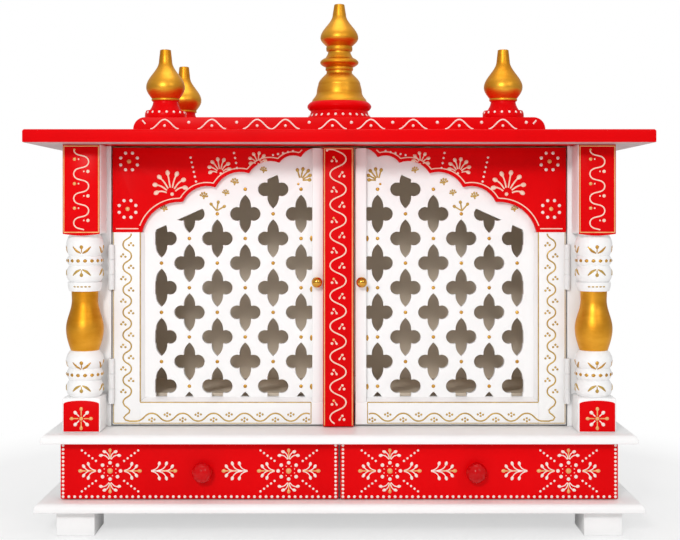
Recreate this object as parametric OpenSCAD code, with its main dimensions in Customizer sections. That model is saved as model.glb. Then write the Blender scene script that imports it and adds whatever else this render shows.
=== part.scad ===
// Wooden pooja mandir: a painted home shrine cabinet with two pierced doors,
// two drawers, turned columns and onion finials. Millimetres, front towards -Y,
// origin on the floor under the middle of the roof.

/* [Body] */
// Outer width of the cabinet
cabinet_w = 600; // [560:1:740]
// Height of the cabinet between the upper base board and the roof
cabinet_h = 318; // [300:1:400]
// Depth from the columns' front faces to the back of the cabinet
body_d = 214; // [190:1:260]
// Thickness of the side and back panels
panel_t = 12; // [8:1:16]
// Width of the jamb beside each door
jamb_w = 41.5; // [36:0.5:50]
// Thickness of the jambs
jamb_t = 16; // [10:1:20]

/* [Boards] */
// Thickness of the two base boards
base_board_t = 10; // [8:1:14]
// Radius of the moulding along the top edge of the base boards
base_moulding_r = 7; // [3:1:8]
// How far the lower base board stands out at each side
lower_side_overhang = 32; // [20:1:44]
// How far the lower base board stands out in front and behind
lower_front_overhang = 22; // [16:1:30]
// How far the upper base board stands out at each side
upper_side_overhang = 26; // [18:1:36]
// How far the upper base board stands out in front and behind
upper_front_overhang = 16; // [12:1:24]
// Thickness of the roof board
roof_t = 14; // [10:1:20]
// Radius along the top edge of the roof board
roof_edge_r = 2.5; // [1:0.5:5]
// How far the roof board stands out at each side
roof_side_overhang = 40; // [34:1:60]
// How far the roof board stands out in front and behind
roof_front_overhang = 38; // [34:1:60]

/* [Feet] */
// Height of the feet
foot_h = 28; // [20:1:40]
// Width of a foot
foot_w = 42; // [34:1:60]
// Depth of a foot, front to back
foot_d = 56; // [40:1:70]
// Distance from a board's side edge to a foot
foot_side_inset = 22; // [10:1:40]
// Distance from a board's front edge to a foot
foot_front_inset = 15; // [8:1:30]

/* [Columns] */
// Side of the square column
column_w = 42; // [36:1:48]
// How far a column stands out past the cabinet's side
column_step = 5; // [0:1:10]
// Height of the square block at the foot of a column
column_base_h = 38; // [30:1:46]

/* [Doors] */
// Gap between a door and the jamb that carries it
door_gap = 1.5; // [1.5:0.1:3]
// Gap under and over the doors
door_end_gap = 2; // [1:0.1:4]
// Gap where the two doors meet
leaf_gap = 2; // [2:0.1:4]
// Thickness of a pierced panel
lattice_t = 8; // [5:0.5:12]
// How far the frame stands out in front of the pierced panel
frame_t = 8; // [4:0.5:12]
// Width of the stile beside the hinges
stile_w = 31; // [26:1:38]
// Height of the bottom rail
rail_h = 25.4; // [20:0.1:34]
// Width of the bevel along the frame's inner edge
bevel_w = 5; // [2:0.5:7]
// Width of the narrow stile beside the centre strip
inner_stile_w = 12.4; // [10:0.1:20]
// Height of the arched spandrel at its low end
arch_rise = 96; // [80:1:110]
// Width of the centre strip
strip_w = 34.4; // [28:0.1:44]
// Thickness of the centre strip
strip_t = 16; // [10:0.5:18]

/* [Lattice] */
// Distance from hole to hole across a row
hole_pitch_x = 63.6; // [58:0.1:72]
// Distance from hole to hole up a column
hole_pitch_z = 56.1; // [52:0.1:66]
// Width of a four-lobed hole
hole_w = 34.8; // [26:0.1:38]
// Height of a four-lobed hole
hole_h = 43.8; // [36:0.1:46]
// Width of the upright arms of a hole
hole_arm_w = 13.2; // [12:0.1:18]
// Height of the side lobes of a hole
hole_lobe_h = 15.8; // [12:0.1:20]
// Rows of holes in each column of the lattice
hole_rows = 5; // [3:1:6]
// Plain margin between the stile's bevel and the holes
lattice_margin = 11; // [6:1:20]

/* [Drawers] */
// Height of the drawer case between the base boards
case_h = 64; // [54:1:90]
// How far the drawer case stands out past the cabinet's side
case_step = 7; // [0:1:10]
// Thickness of the case's sides, back and divider
case_t = 10; // [6:1:14]
// Thickness of a drawer front
drawer_front_t = 12; // [10:1:18]
// Gap over and under a drawer front
drawer_reveal = 1; // [0.5:0.1:3]
// Gap between the two drawer fronts
drawer_fronts_gap = 2; // [1:0.1:4]
// Thickness of a drawer's sides and back
drawer_side_t = 8; // [6:1:12]
// Thickness of a drawer's bottom
drawer_bottom_t = 4; // [3:0.5:8]
// Gap at each side of a drawer box
drawer_side_gap = 2; // [1:0.1:4]
// Gap behind a drawer box
drawer_back_gap = 5; // [5:1:20]
// Diameter of a drawer knob
drawer_knob_d = 22.5; // [16:0.1:30]

/* [Hardware] */
// Height of a hinge
hinge_h = 50.8; // [38:0.1:64]
// Outer diameter of a hinge's barrel
barrel_d = 7; // [5:0.1:8]
// Diameter of a hinge's pin
pin_d = 3; // [2:0.1:4]
// Diameter of a door knob
door_knob_d = 12.2; // [9:0.1:18]

/* [Roof ornaments] */
// Width of the plinth that carries the finials
plinth_w = 452; // [380:1:540]
// Depth of the plinth
plinth_d = 226; // [180:1:260]
// Height of the plinth
plinth_h = 15; // [13:1:24]
// Radius of the plinth's rounded ends
plinth_end_r = 13; // [6:1:13]
// Distance from the plinth's left end to the left finials
finial_left_inset = 32; // [25:1:60]
// Distance from the plinth's right end to the right finial
finial_right_inset = 43; // [25:1:60]
// Distance from the plinth's front and back to the finials
finial_front_inset = 27; // [25:1:50]

/* [Platform] */
// Height of the platform inside, above the upper base board
platform_h = 34; // [20:1:60]
// Thickness of the platform's top board
platform_t = 10; // [6:1:14]
// Distance from the back of the doors to the platform
platform_setback = 10; // [8:1:40]

/* [Hidden] */
RED = "#e0060c";
WHITE = "#f6f5f4";
GOLD = "#e2962a";
BRASS = "#d9a441";
INSIDE = "#b8a68f";
$fn = 48;

// Heights, from the floor up
lower_board_z = foot_h;
case_z = lower_board_z + base_board_t;
upper_board_z = case_z + case_h;
cabinet_z = upper_board_z + base_board_t;
roof_z = cabinet_z + cabinet_h;
plinth_z = roof_z + roof_t;
finial_z = plinth_z + plinth_h;

// Planes from front to back
column_front_y = -body_d / 2;
face_y = column_front_y + column_w;
back_y = body_d / 2;
case_front_y = column_front_y + drawer_front_t;

// Cabinet widths
cabinet_half = cabinet_w / 2;
opening_half = cabinet_half - jamb_w;
case_half = cabinet_half + case_step;
column_x = cabinet_half + column_step - column_w / 2;

// Doors: the left one is drawn, the right one is its mirror image
door_outer_x = opening_half - door_gap;
door_z = cabinet_z + door_end_gap;
door_top_z = roof_z - door_end_gap;
leaf_x = (strip_w + leaf_gap) / 2;
strip_right_x = leaf_x - leaf_gap;
strip_floor_gap = door_end_gap / 2;
door_back_y = face_y + frame_t + lattice_t;
panel_y = face_y + frame_t;
stile_inner_x = door_outer_x - stile_w;
arch_outer_x = stile_inner_x - 2;
arch_foot_z = door_top_z - arch_rise;
// Cusps of the arch: share of its span from the stile, and of its rise below the top
ARCH_CUSPS = [[0, 1], [0.224, 0.643], [0.405, 0.469], [0.59, 0.304], [0.757, 0.179], [0.876, 0.113], [1, 0.016]];
// How far each foil of the arch swells, as a share of its chord
FOIL_SWELL = 0.19;

// Lattice: the lowest full row and the column next to the narrow stile
lattice_inner_x = leaf_x + inner_stile_w;
lattice_outer_x = stile_inner_x - bevel_w - lattice_margin;
lattice_floor_z = door_z + rail_h + bevel_w;
hole_row_z = lattice_floor_z + 12;
hole_column_x = lattice_inner_x + 13;
hole_columns = ceil((lattice_outer_x - hole_column_x) / hole_pitch_x * 2);
// How far above the slanted top line the middle of a hole may lie
hole_top_reach = 3;

// Hinges: heights of their middles above the upper base board
HINGE_HEIGHTS = [51.7, 180.7];
hinge_leaf_t = 0.6;
hinge_leaf_d = 14;
hinge_axial_gap = 0.3;
pin_clearance = 0.05;
barrel_x = opening_half - door_gap / 2;
barrel_y = face_y - barrel_d / 2;
knuckle_h = (hinge_h - 2 * hinge_axial_gap) / 3;

// Knobs
door_knob_x = leaf_x + 7;
door_knob_z = cabinet_z + 163.7;
knob_neck_l = 4;
drawer_knob_shift = 4;
drawer_knob_l = 20;

// Drawers
drawer_seat_gap = 0.3;
drawer_close_gap = 0.5;
drawer_top_gap = 7;
drawer_bottom_lift = 3;
drawer_front_h = case_h - 2 * drawer_reveal;
drawer_box_outer_x = case_half - case_t - drawer_side_gap;
drawer_box_inner_x = case_t / 2 + drawer_side_gap;
drawer_box_front_y = case_front_y - drawer_close_gap;
drawer_box_back_y = back_y - case_t - drawer_back_gap;
drawer_box_h = case_h - drawer_seat_gap - drawer_top_gap;
drawer_mid_x = (case_half + drawer_fronts_gap / 2) / 2;

// Finials
finial_y = plinth_d / 2 - finial_front_inset;
finial_left_x = plinth_w / 2 - finial_left_inset;
finial_right_x = plinth_w / 2 - finial_right_inset;

// ---- Helpers ----

// Box between two corners
module block(low, high) {
    translate(low) cube(high - low);
}

// Left-hand drawing on the left, or its mirror image on the right
module on_side(side) {
    mirror([side == "right" ? 1 : 0, 0, 0]) children();
}

// Outline drawn in X and Z, as a board whose front face lies at y
module upright(y, t) {
    translate([0, y + t, 0]) rotate([90, 0, 0]) linear_extrude(t) children();
}

// Section of a board whose two top edges are rounded
module rounded_section(w, t, r) {
    translate([-w / 2, 0]) square([w, t - r]);
    translate([-w / 2 + r, 0]) square([w - 2 * r, t]);
    intersection() {
        translate([-w / 2, 0]) square([w, t]);
        for (side = [-1, 1]) {
            translate([side * (w / 2 - r), t - r]) circle(r);
        }
    }
}

// Board with a round moulding along its top edge, mitred at the corners
module moulded_board(w, d, t, r) {
    intersection() {
        upright(-d / 2, d) rounded_section(w, t, r);
        rotate([0, 0, 90]) upright(-w / 2, w) rounded_section(d, t, r);
    }
}

// How far along its radius change a turned stretch is, at share t of its height
function turned_share(kind, t) =
    kind == "rise" ? sin(90 * t) :
    kind == "fall" ? 1 - cos(90 * t) :
    kind == "ease" ? (1 - cos(180 * t)) / 2 : t;

// Points of one turned stretch: [height, end radius, kind, swell]
function stretch_points(z, r, s) =
    let (steps = s[2] == "step" ? 1 : 8)
    [for (i = [1 : steps])
        let (t = s[3] > 0 ? (1 - cos(180 * i / steps)) / 2 : i / steps)
        [r + (s[1] - r) * turned_share(s[2], t) + s[3] * pow(max(0, sin(180 * t)), 0.8), z + s[0] * t]];

// Points of all stretches from number i upwards
function turned_points(stretches, i, z, r) =
    i >= len(stretches) ? [] :
    concat(stretch_points(z, r, stretches[i]),
           turned_points(stretches, i + 1, z + stretches[i][0], stretches[i][1]));

function turned_height(stretches) = [for (s = stretches) s[0]] * [for (s = stretches) 1];

// Solid turned from stretches stacked on radius r at height 0
module turned(r, stretches) {
    outline = concat([[0, 0], [r, 0]], turned_points(stretches, 0, 0, r), [[0, turned_height(stretches)]]);
    rotate_extrude() polygon(outline);
}

// Points of an arc from a to b that swells to the left of the way there
function foil_points(a, b) =
    let (chord = norm(b - a),
         sag = chord * FOIL_SWELL,
         r = (chord * chord / 4 + sag * sag) / (2 * sag),
         along = (b - a) / chord,
         across = [-along[1], along[0]],
         centre = (a + b) / 2 - across * (r - sag),
         half = asin(chord / 2 / r),
         steps = 8)
    [for (i = [1 : steps])
        let (turn = half * (2 * i / steps - 1))
        centre + r * (along * sin(turn) + across * cos(turn))];

// ---- Base and drawer case ----

FOOT_X = cabinet_half + lower_side_overhang - foot_side_inset - foot_w / 2;
FOOT_Y = body_d / 2 + lower_front_overhang - foot_front_inset - foot_d / 2;

module feet() {
    color(WHITE)
    for (x = [-FOOT_X, FOOT_X], y = [-FOOT_Y, FOOT_Y]) {
        translate([x - foot_w / 2, y - foot_d / 2, 0]) cube([foot_w, foot_d, foot_h]);
    }
}

module lower_base_board() {
    color(WHITE)
    translate([0, 0, lower_board_z])
    moulded_board(cabinet_w + 2 * lower_side_overhang, body_d + 2 * lower_front_overhang,
                  base_board_t, base_moulding_r);
}

module drawer_case_sides() {
    color(WHITE)
    for (side = ["left", "right"]) {
        on_side(side) block([-case_half, case_front_y, case_z], [case_t - case_half, back_y, upper_board_z]);
    }
}

module drawer_case_back() {
    color(WHITE)
    block([case_t - case_half, back_y - case_t, case_z], [case_half - case_t, back_y, upper_board_z]);
}

module drawer_case_divider() {
    color(WHITE)
    block([-case_t / 2, case_front_y, case_z], [case_t / 2, back_y - case_t, upper_board_z]);
}

module upper_base_board() {
    color(WHITE)
    translate([0, 0, upper_board_z])
    moulded_board(cabinet_w + 2 * upper_side_overhang, body_d + 2 * upper_front_overhang,
                  base_board_t, base_moulding_r);
}

// ---- Cabinet ----

module cabinet_side(side) {
    color(WHITE)
    on_side(side)
    block([-cabinet_half, face_y + jamb_t, cabinet_z], [panel_t - cabinet_half, back_y, roof_z]);
}

module cabinet_back() {
    color(WHITE)
    block([panel_t - cabinet_half, back_y - panel_t, cabinet_z], [cabinet_half - panel_t, back_y, roof_z]);
}

module jambs() {
    color(WHITE)
    for (side = ["left", "right"]) {
        on_side(side) block([-cabinet_half, face_y, cabinet_z], [-opening_half, face_y + jamb_t, roof_z]);
    }
}

PLATFORM_Y = door_back_y + platform_setback;

module platform_top() {
    color(INSIDE)
    block([panel_t - cabinet_half, PLATFORM_Y, cabinet_z + platform_h - platform_t],
          [cabinet_half - panel_t, back_y - panel_t, cabinet_z + platform_h]);
}

module platform_riser() {
    color(INSIDE)
    block([panel_t - cabinet_half, PLATFORM_Y, cabinet_z],
          [cabinet_half - panel_t, PLATFORM_Y + platform_t, cabinet_z + platform_h - platform_t]);
}

// Turned middle of a column, from its lower square block upwards
COLUMN_FOOT_R = 17;
COLUMN_TURNING = [
    [18.2, 16.8, "line", 3.7],
    [13.2, 17.2, "line", 3.1],
    [19.6, 15.6, "line", 4.3],
    [24, 20.8, "rise", 0],
    [32, 14.4, "ease", 0],
    [10, 14.8, "step", 0],
    [0, 17.2, "step", 0],
    [10, 18.8, "line", 0.6],
    [0, 16.6, "step", 0],
    [18.5, 16.8, "line", 3.7],
    [11, 17.2, "line", 2.8],
    [22.5, 17.2, "line", 3.4],
    [2, 17, "step", 0]
];
column_turning_h = turned_height(COLUMN_TURNING);

module column(side) {
    block_z = column_base_h + column_turning_h;
    color(GOLD)
    on_side(side)
    translate([-column_x, column_front_y + column_w / 2, cabinet_z]) {
        translate([-column_w / 2, -column_w / 2, 0]) cube([column_w, column_w, column_base_h]);
        translate([0, 0, column_base_h]) turned(COLUMN_FOOT_R, COLUMN_TURNING);
        translate([-column_w / 2, -column_w / 2, block_z]) cube([column_w, column_w, cabinet_h - block_z]);
    }
}

// ---- Roof ----

module roof_board() {
    color(RED)
    translate([0, 0, roof_z])
    moulded_board(cabinet_w + 2 * roof_side_overhang, body_d + 2 * roof_front_overhang, roof_t, roof_edge_r);
}

module roof_plinth() {
    color(RED)
    translate([0, 0, plinth_z]) upright(-plinth_d / 2, plinth_d) rounded_section(plinth_w, plinth_h, plinth_end_r);
}

// Onion finial on a beaded disc
CORNER_FINIAL_R = 22.5;
CORNER_FINIAL = [
    [8.8, 21.5, "line", 0.8],
    [0.3, 17.6, "step", 0],
    [9.9, 13.8, "rise", 0],
    [0.5, 15, "step", 0],
    [2.9, 15, "line", 0.6],
    [0, 15.2, "step", 0],
    [12.6, 21.5, "rise", 0],
    [29.7, 7.3, "ease", 0],
    [11.8, 6, "line", 0],
    [0.5, 5, "step", 0]
];

module corner_finial(x, y) {
    color(GOLD)
    translate([x, y, finial_z]) turned(CORNER_FINIAL_R, CORNER_FINIAL);
}

module front_finials() {
    corner_finial(-finial_left_x, -finial_y);
    corner_finial(finial_right_x, -finial_y);
}

// Two-tiered finial in the middle of the roof
CENTRE_FINIAL_R = 38;
CENTRE_FINIAL = [
    [7.5, 37.1, "line", 0.6],
    [7.4, 33.7, "rise", 0],
    [11, 32.8, "line", 4.6],
    [2.6, 31.6, "step", 0],
    [9, 26.8, "rise", 0],
    [8.4, 25, "line", 0.3],
    [11.5, 17.4, "fall", 0],
    [2.2, 15.2, "step", 0],
    [2.8, 15, "step", 0],
    [0.6, 16, "step", 0],
    [3.9, 16, "line", 0.4],
    [10.8, 16.6, "line", 6.4],
    [7.6, 13.3, "rise", 0],
    [0.6, 15, "step", 0],
    [5.7, 15, "line", 0.6],
    [10, 22.4, "rise", 0],
    [27.8, 7.9, "ease", 0],
    [11.5, 6, "line", 0],
    [0.5, 5, "step", 0]
];

module centre_finial() {
    color(GOLD)
    translate([0, 0, finial_z]) turned(CENTRE_FINIAL_R, CENTRE_FINIAL);
}

// ---- Doors ----

arch_span = arch_outer_x - leaf_x;
function arch_point(cusp) = [cusp[0] * arch_span - arch_outer_x, door_top_z - cusp[1] * arch_rise];

// Slanted line that the holes of the lattice stop at
function lattice_top_z(x) = door_top_z - arch_rise * (1.04 - 0.968 * (arch_outer_x + x) / arch_span);

// Outline of the scalloped spandrel of the left door
module spandrel_outline() {
    cusps = [for (c = ARCH_CUSPS) arch_point(c)];
    foils = [for (i = [1 : len(cusps) - 1]) for (p = foil_points(cusps[i - 1], cusps[i])) p];
    intersection() {
        polygon(concat([[-door_outer_x, door_top_z], [-door_outer_x, arch_foot_z], cusps[0]], foils,
                       [[-leaf_x, door_top_z]]));
        translate([-door_outer_x, arch_foot_z]) square([door_outer_x - leaf_x, arch_rise]);
    }
}

// Four-lobed hole: round lobes to the sides, pointed arms up and down
module hole_outline() {
    lobe_r = hole_lobe_h / 2;
    lobe_x = hole_w / 2 - lobe_r;
    arm = hole_arm_w / 2;
    meet = 90 + asin(min(1, (lobe_x - arm) / lobe_r));
    shoulder = lobe_r * sin(meet);
    steps = 6;
    lobe = [for (i = [0 : 2 * steps]) let (a = meet * (i / steps - 1)) [lobe_x + lobe_r * cos(a), lobe_r * sin(a)]];
    ogive = [for (i = [1 : steps]) let (t = i / steps)
        [arm * (1 - pow(t, 2.6)), shoulder + (hole_h / 2 - shoulder) * t]];
    half_right = concat(lobe, ogive);
    left = [for (i = [len(half_right) - 1 : -1 : 0]) [-half_right[i][0], half_right[i][1]]];
    low_left = [for (p = ogive) [-p[0], -p[1]]];
    low_right = [for (i = [steps - 1 : -1 : 0]) [ogive[i][0], -ogive[i][1]]];
    polygon(concat(half_right, left, low_left, low_right));
}

// Holes of the left door's lattice, stopped at its margins
module lattice_holes() {
    intersection() {
        polygon([[-lattice_outer_x, lattice_floor_z], [-lattice_inner_x, lattice_floor_z],
                 [-lattice_inner_x, lattice_top_z(-lattice_inner_x)],
                 [-lattice_outer_x, lattice_top_z(-lattice_outer_x)]]);
        for (column = [0 : hole_columns], row = [0 : hole_rows - 1]) {
            x = -hole_column_x - column * hole_pitch_x / 2;
            z = hole_row_z + (row - (column % 2 == 0 ? 0.5 : 0)) * hole_pitch_z;
            if (z < lattice_top_z(x) + hole_top_reach) {
                translate([x, z]) hole_outline();
            }
        }
    }
}

// Pierced panel whose meeting edge lies at inner_x, drawn on the left
module lattice_panel(side, inner_x) {
    color(WHITE)
    on_side(side)
    upright(panel_y, lattice_t)
    difference() {
        translate([-door_outer_x, door_z]) square([door_outer_x + inner_x, door_top_z - door_z]);
        lattice_holes();
    }
}

// Bar of the frame from 0 to w across, with a bevel beyond w
module frame_section(w) {
    polygon([[0, 0], [w, 0], [w + bevel_w, frame_t], [0, frame_t]]);
}

module stile_solid() {
    translate([-door_outer_x, face_y, door_z]) linear_extrude(arch_foot_z - door_z) frame_section(stile_w);
}

module inner_stile_solid() {
    upright(face_y, frame_t)
    difference() {
        translate([-lattice_inner_x, door_z + rail_h])
        square([inner_stile_w, door_top_z - door_z - rail_h]);
        spandrel_outline();
    }
}

module door_stile(side) {
    color(WHITE)
    on_side(side) stile_solid();
}

module door_inner_stile(side) {
    color(WHITE)
    on_side(side) inner_stile_solid();
}

module door_bottom_rail(side) {
    color(WHITE)
    on_side(side)
    difference() {
        translate([-stile_inner_x, face_y, door_z])
        rotate([90, 0, 90]) linear_extrude(stile_inner_x - leaf_x)
        polygon([[0, 0], [0, rail_h], [frame_t, rail_h + bevel_w], [frame_t, 0]]);
        stile_solid();
        inner_stile_solid();
    }
}

module door_spandrel(side) {
    color(RED)
    on_side(side) upright(face_y, frame_t) spandrel_outline();
}

module centre_strip() {
    color(RED)
    block([-leaf_x, panel_y - strip_t, cabinet_z + strip_floor_gap], [strip_right_x, panel_y, door_top_z]);
}

module door_knob(side) {
    ball_r = door_knob_d / 2;
    neck_r = ball_r / 2;
    color(BRASS)
    on_side(side)
    translate([-door_knob_x, face_y, door_knob_z]) rotate([90, 0, 0])
    union() {
        cylinder(r = neck_r, h = knob_neck_l);
        translate([0, 0, knob_neck_l + ball_r - 1]) sphere(ball_r);
    }
}

// ---- Hinges, drawn on the left ----

module at_hinges() {
    for (h = HINGE_HEIGHTS) {
        translate([0, 0, cabinet_z + h - hinge_h / 2]) children();
    }
}

// Plate in the gap beside the door, with tabs out to the barrel's knuckles
module hinge_plate(x, tabs) {
    block([x, face_y, 0], [x + hinge_leaf_t, face_y + hinge_leaf_d, hinge_h]);
    for (tab = tabs) {
        block([x, barrel_y, tab], [x + hinge_leaf_t, face_y, tab + knuckle_h]);
    }
}

module knuckle(z) {
    translate([-barrel_x, barrel_y, z]) cylinder(d = barrel_d, h = knuckle_h);
}

module jamb_hinge_leaf() {
    top_z = hinge_h - knuckle_h;
    translate([-barrel_x, barrel_y, 0]) cylinder(d = pin_d, h = hinge_h);
    knuckle(0);
    knuckle(top_z);
    hinge_plate(-opening_half, [0, top_z]);
}

module door_hinge_leaf() {
    middle_z = knuckle_h + hinge_axial_gap;
    difference() {
        union() {
            knuckle(middle_z);
            hinge_plate(-door_outer_x - hinge_leaf_t, [middle_z]);
        }
        translate([-barrel_x, barrel_y, 0]) cylinder(d = pin_d + 2 * pin_clearance, h = hinge_h);
    }
}

module jamb_hinge_leaves() {
    color(WHITE)
    for (side = ["left", "right"]) {
        on_side(side) at_hinges() jamb_hinge_leaf();
    }
}

module door_hinge_leaves(side) {
    color(WHITE)
    on_side(side) at_hinges() door_hinge_leaf();
}

// ---- Drawers, drawn on the left ----

module drawer_front(side) {
    color(RED)
    on_side(side)
    block([-case_half, column_front_y, case_z + drawer_reveal],
          [-drawer_fronts_gap / 2, drawer_box_front_y, case_z + drawer_reveal + drawer_front_h]);
}

module drawer_sides(side) {
    low = [-drawer_box_outer_x, drawer_box_front_y, case_z + drawer_seat_gap];
    size = [drawer_side_t, drawer_box_back_y - drawer_box_front_y, drawer_box_h];
    color(INSIDE)
    on_side(side) {
        translate(low) cube(size);
        translate([-drawer_box_inner_x - drawer_side_t, low[1], low[2]]) cube(size);
    }
}

module drawer_back(side) {
    color(INSIDE)
    on_side(side)
    block([drawer_side_t - drawer_box_outer_x, drawer_box_back_y - drawer_side_t, case_z + drawer_seat_gap],
          [-drawer_box_inner_x - drawer_side_t, drawer_box_back_y, case_z + drawer_seat_gap + drawer_box_h]);
}

module drawer_bottom(side) {
    bottom_z = case_z + drawer_seat_gap + drawer_bottom_lift;
    color(INSIDE)
    on_side(side)
    block([drawer_side_t - drawer_box_outer_x, drawer_box_front_y, bottom_z],
          [-drawer_box_inner_x - drawer_side_t, drawer_box_back_y - drawer_side_t, bottom_z + drawer_bottom_t]);
}

// Mushroom knob: a flared neck under a domed cap
module drawer_knob(side) {
    cap_r = drawer_knob_d / 2;
    neck_r = cap_r * 0.45;
    color(RED)
    on_side(side)
    translate([drawer_knob_shift - drawer_mid_x, column_front_y, case_z + case_h / 2]) rotate([90, 0, 0])
    turned(neck_r + 2, [
        [5, neck_r, "rise", 0],
        [5, cap_r, "rise", 0],
        [drawer_knob_l - 10.5, 2, "fall", 0],
        [0.5, 0.5, "step", 0]
    ]);
}

feet();
lower_base_board();
drawer_case_sides();
drawer_case_back();
drawer_case_divider();
upper_base_board();
cabinet_side("left");  // cabinet_left_side
cabinet_side("right");  // cabinet_right_side
cabinet_back();
jambs();
platform_top();
platform_riser();
column("left");  // left_column
column("right");  // right_column
roof_board();
roof_plinth();
front_finials();
corner_finial(-finial_left_x, finial_y);  // rear_finial
centre_finial();
jamb_hinge_leaves();
lattice_panel("left", strip_right_x);  // left_lattice_panel
door_stile("left");  // left_door_stile
door_bottom_rail("left");  // left_door_bottom_rail
door_inner_stile("left");  // left_door_inner_stile
door_spandrel("left");  // left_door_spandrel
centre_strip();
door_knob("left");  // left_door_knob
door_hinge_leaves("left");  // left_door_hinge_leaves
lattice_panel("right", -leaf_x);  // right_lattice_panel
door_stile("right");  // right_door_stile
door_bottom_rail("right");  // right_door_bottom_rail
door_inner_stile("right");  // right_door_inner_stile
door_spandrel("right");  // right_door_spandrel
door_knob("right");  // right_door_knob
door_hinge_leaves("right");  // right_door_hinge_leaves
drawer_front("left");  // left_drawer_front
drawer_sides("left");  // left_drawer_sides
drawer_back("left");  // left_drawer_back
drawer_bottom("left");  // left_drawer_bottom
drawer_knob("left");  // left_drawer_knob
drawer_front("right");  // right_drawer_front
drawer_sides("right");  // right_drawer_sides
drawer_back("right");  // right_drawer_back
drawer_bottom("right");  // right_drawer_bottom
drawer_knob("right");  // right_drawer_knob
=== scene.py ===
"""Looks of a painted wooden mandir: enamel boards, gilded turnings and brush-painted ornament.

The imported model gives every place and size. Each sub-assembly is a class that builds its own
meshes and dresses them. Ornament is drawn on flat sheets, in millimetres, as strokes and beads
of thick paint that node trees turn into geometry, and is then laid on its surface.
"""

import logging
import math
from dataclasses import dataclass, field
from enum import Enum
from typing import Callable, Iterable, Optional, Sequence

import bmesh
import bpy
from mathutils import Matrix, Vector


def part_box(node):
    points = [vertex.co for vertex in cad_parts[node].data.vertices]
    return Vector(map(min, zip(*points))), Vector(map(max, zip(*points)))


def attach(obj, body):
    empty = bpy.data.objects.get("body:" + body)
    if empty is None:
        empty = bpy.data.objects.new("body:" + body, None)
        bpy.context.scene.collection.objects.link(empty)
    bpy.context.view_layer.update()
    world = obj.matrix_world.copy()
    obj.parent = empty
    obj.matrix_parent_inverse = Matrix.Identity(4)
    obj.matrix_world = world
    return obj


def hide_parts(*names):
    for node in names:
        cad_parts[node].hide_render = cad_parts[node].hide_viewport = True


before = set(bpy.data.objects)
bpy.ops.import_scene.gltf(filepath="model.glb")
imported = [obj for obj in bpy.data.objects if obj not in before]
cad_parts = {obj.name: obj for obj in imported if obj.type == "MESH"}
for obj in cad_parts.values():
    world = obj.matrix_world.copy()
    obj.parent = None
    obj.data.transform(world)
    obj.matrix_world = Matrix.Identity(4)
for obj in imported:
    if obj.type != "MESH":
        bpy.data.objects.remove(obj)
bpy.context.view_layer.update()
LOG = logging.getLogger("mandir")

MM = 0.001
Point = tuple[float, float]
Colour = tuple[float, float, float]
Run = Sequence[tuple[float, float, float]]
Surface = Callable[[Vector], Vector]


class Side(Enum):
    """The two sides of the front, as seen by someone who faces it."""

    LEFT = "left"
    RIGHT = "right"

    @property
    def sign(self) -> int:
        """Sign of X on this side."""
        return -1 if self is Side.LEFT else 1


class Turn(Enum):
    """How the radius changes along one turned stretch."""

    LINE = "line"
    RISE = "rise"
    FALL = "fall"
    EASE = "ease"

    def share(self, t: float) -> float:
        """How much of the change is done at share t of the height.

        Args:
            t: Share of the stretch's height, from 0 to 1.

        Returns:
            Share of the change in radius, from 0 to 1.
        """
        if self is Turn.RISE:
            return math.sin(math.pi / 2 * t)
        if self is Turn.FALL:
            return 1 - math.cos(math.pi / 2 * t)
        if self is Turn.EASE:
            return (1 - math.cos(math.pi * t)) / 2
        return t


# ---- Finishes ----


class NodeSheet:
    """A short way to add and join nodes in one tree."""

    def __init__(self, tree: bpy.types.NodeTree) -> None:
        """Works on the given tree."""
        self.tree = tree

    def add(self, kind: str, inputs: Optional[dict] = None, **settings: object) -> bpy.types.Node:
        """Adds a node, sets its fields, and sets or links its inputs.

        Args:
            kind: The node's type name.
            inputs: Input name or number to a value, or to an output socket that feeds it.
            **settings: Fields of the node.

        Returns:
            The new node.
        """
        node = self.tree.nodes.new(kind)
        for name, value in settings.items():
            setattr(node, name, value)
        for key, value in (inputs or {}).items():
            if isinstance(value, bpy.types.NodeSocket):
                self.tree.links.new(value, node.inputs[key])
            else:
                node.inputs[key].default_value = value
        return node

    def maths(self, operation: str, a: bpy.types.NodeSocket | float, b: bpy.types.NodeSocket | float
              ) -> bpy.types.NodeSocket:
        """Adds a Math node on two values and returns its result."""
        return self.add("ShaderNodeMath", {0: a, 1: b}, operation=operation).outputs[0]


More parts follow.
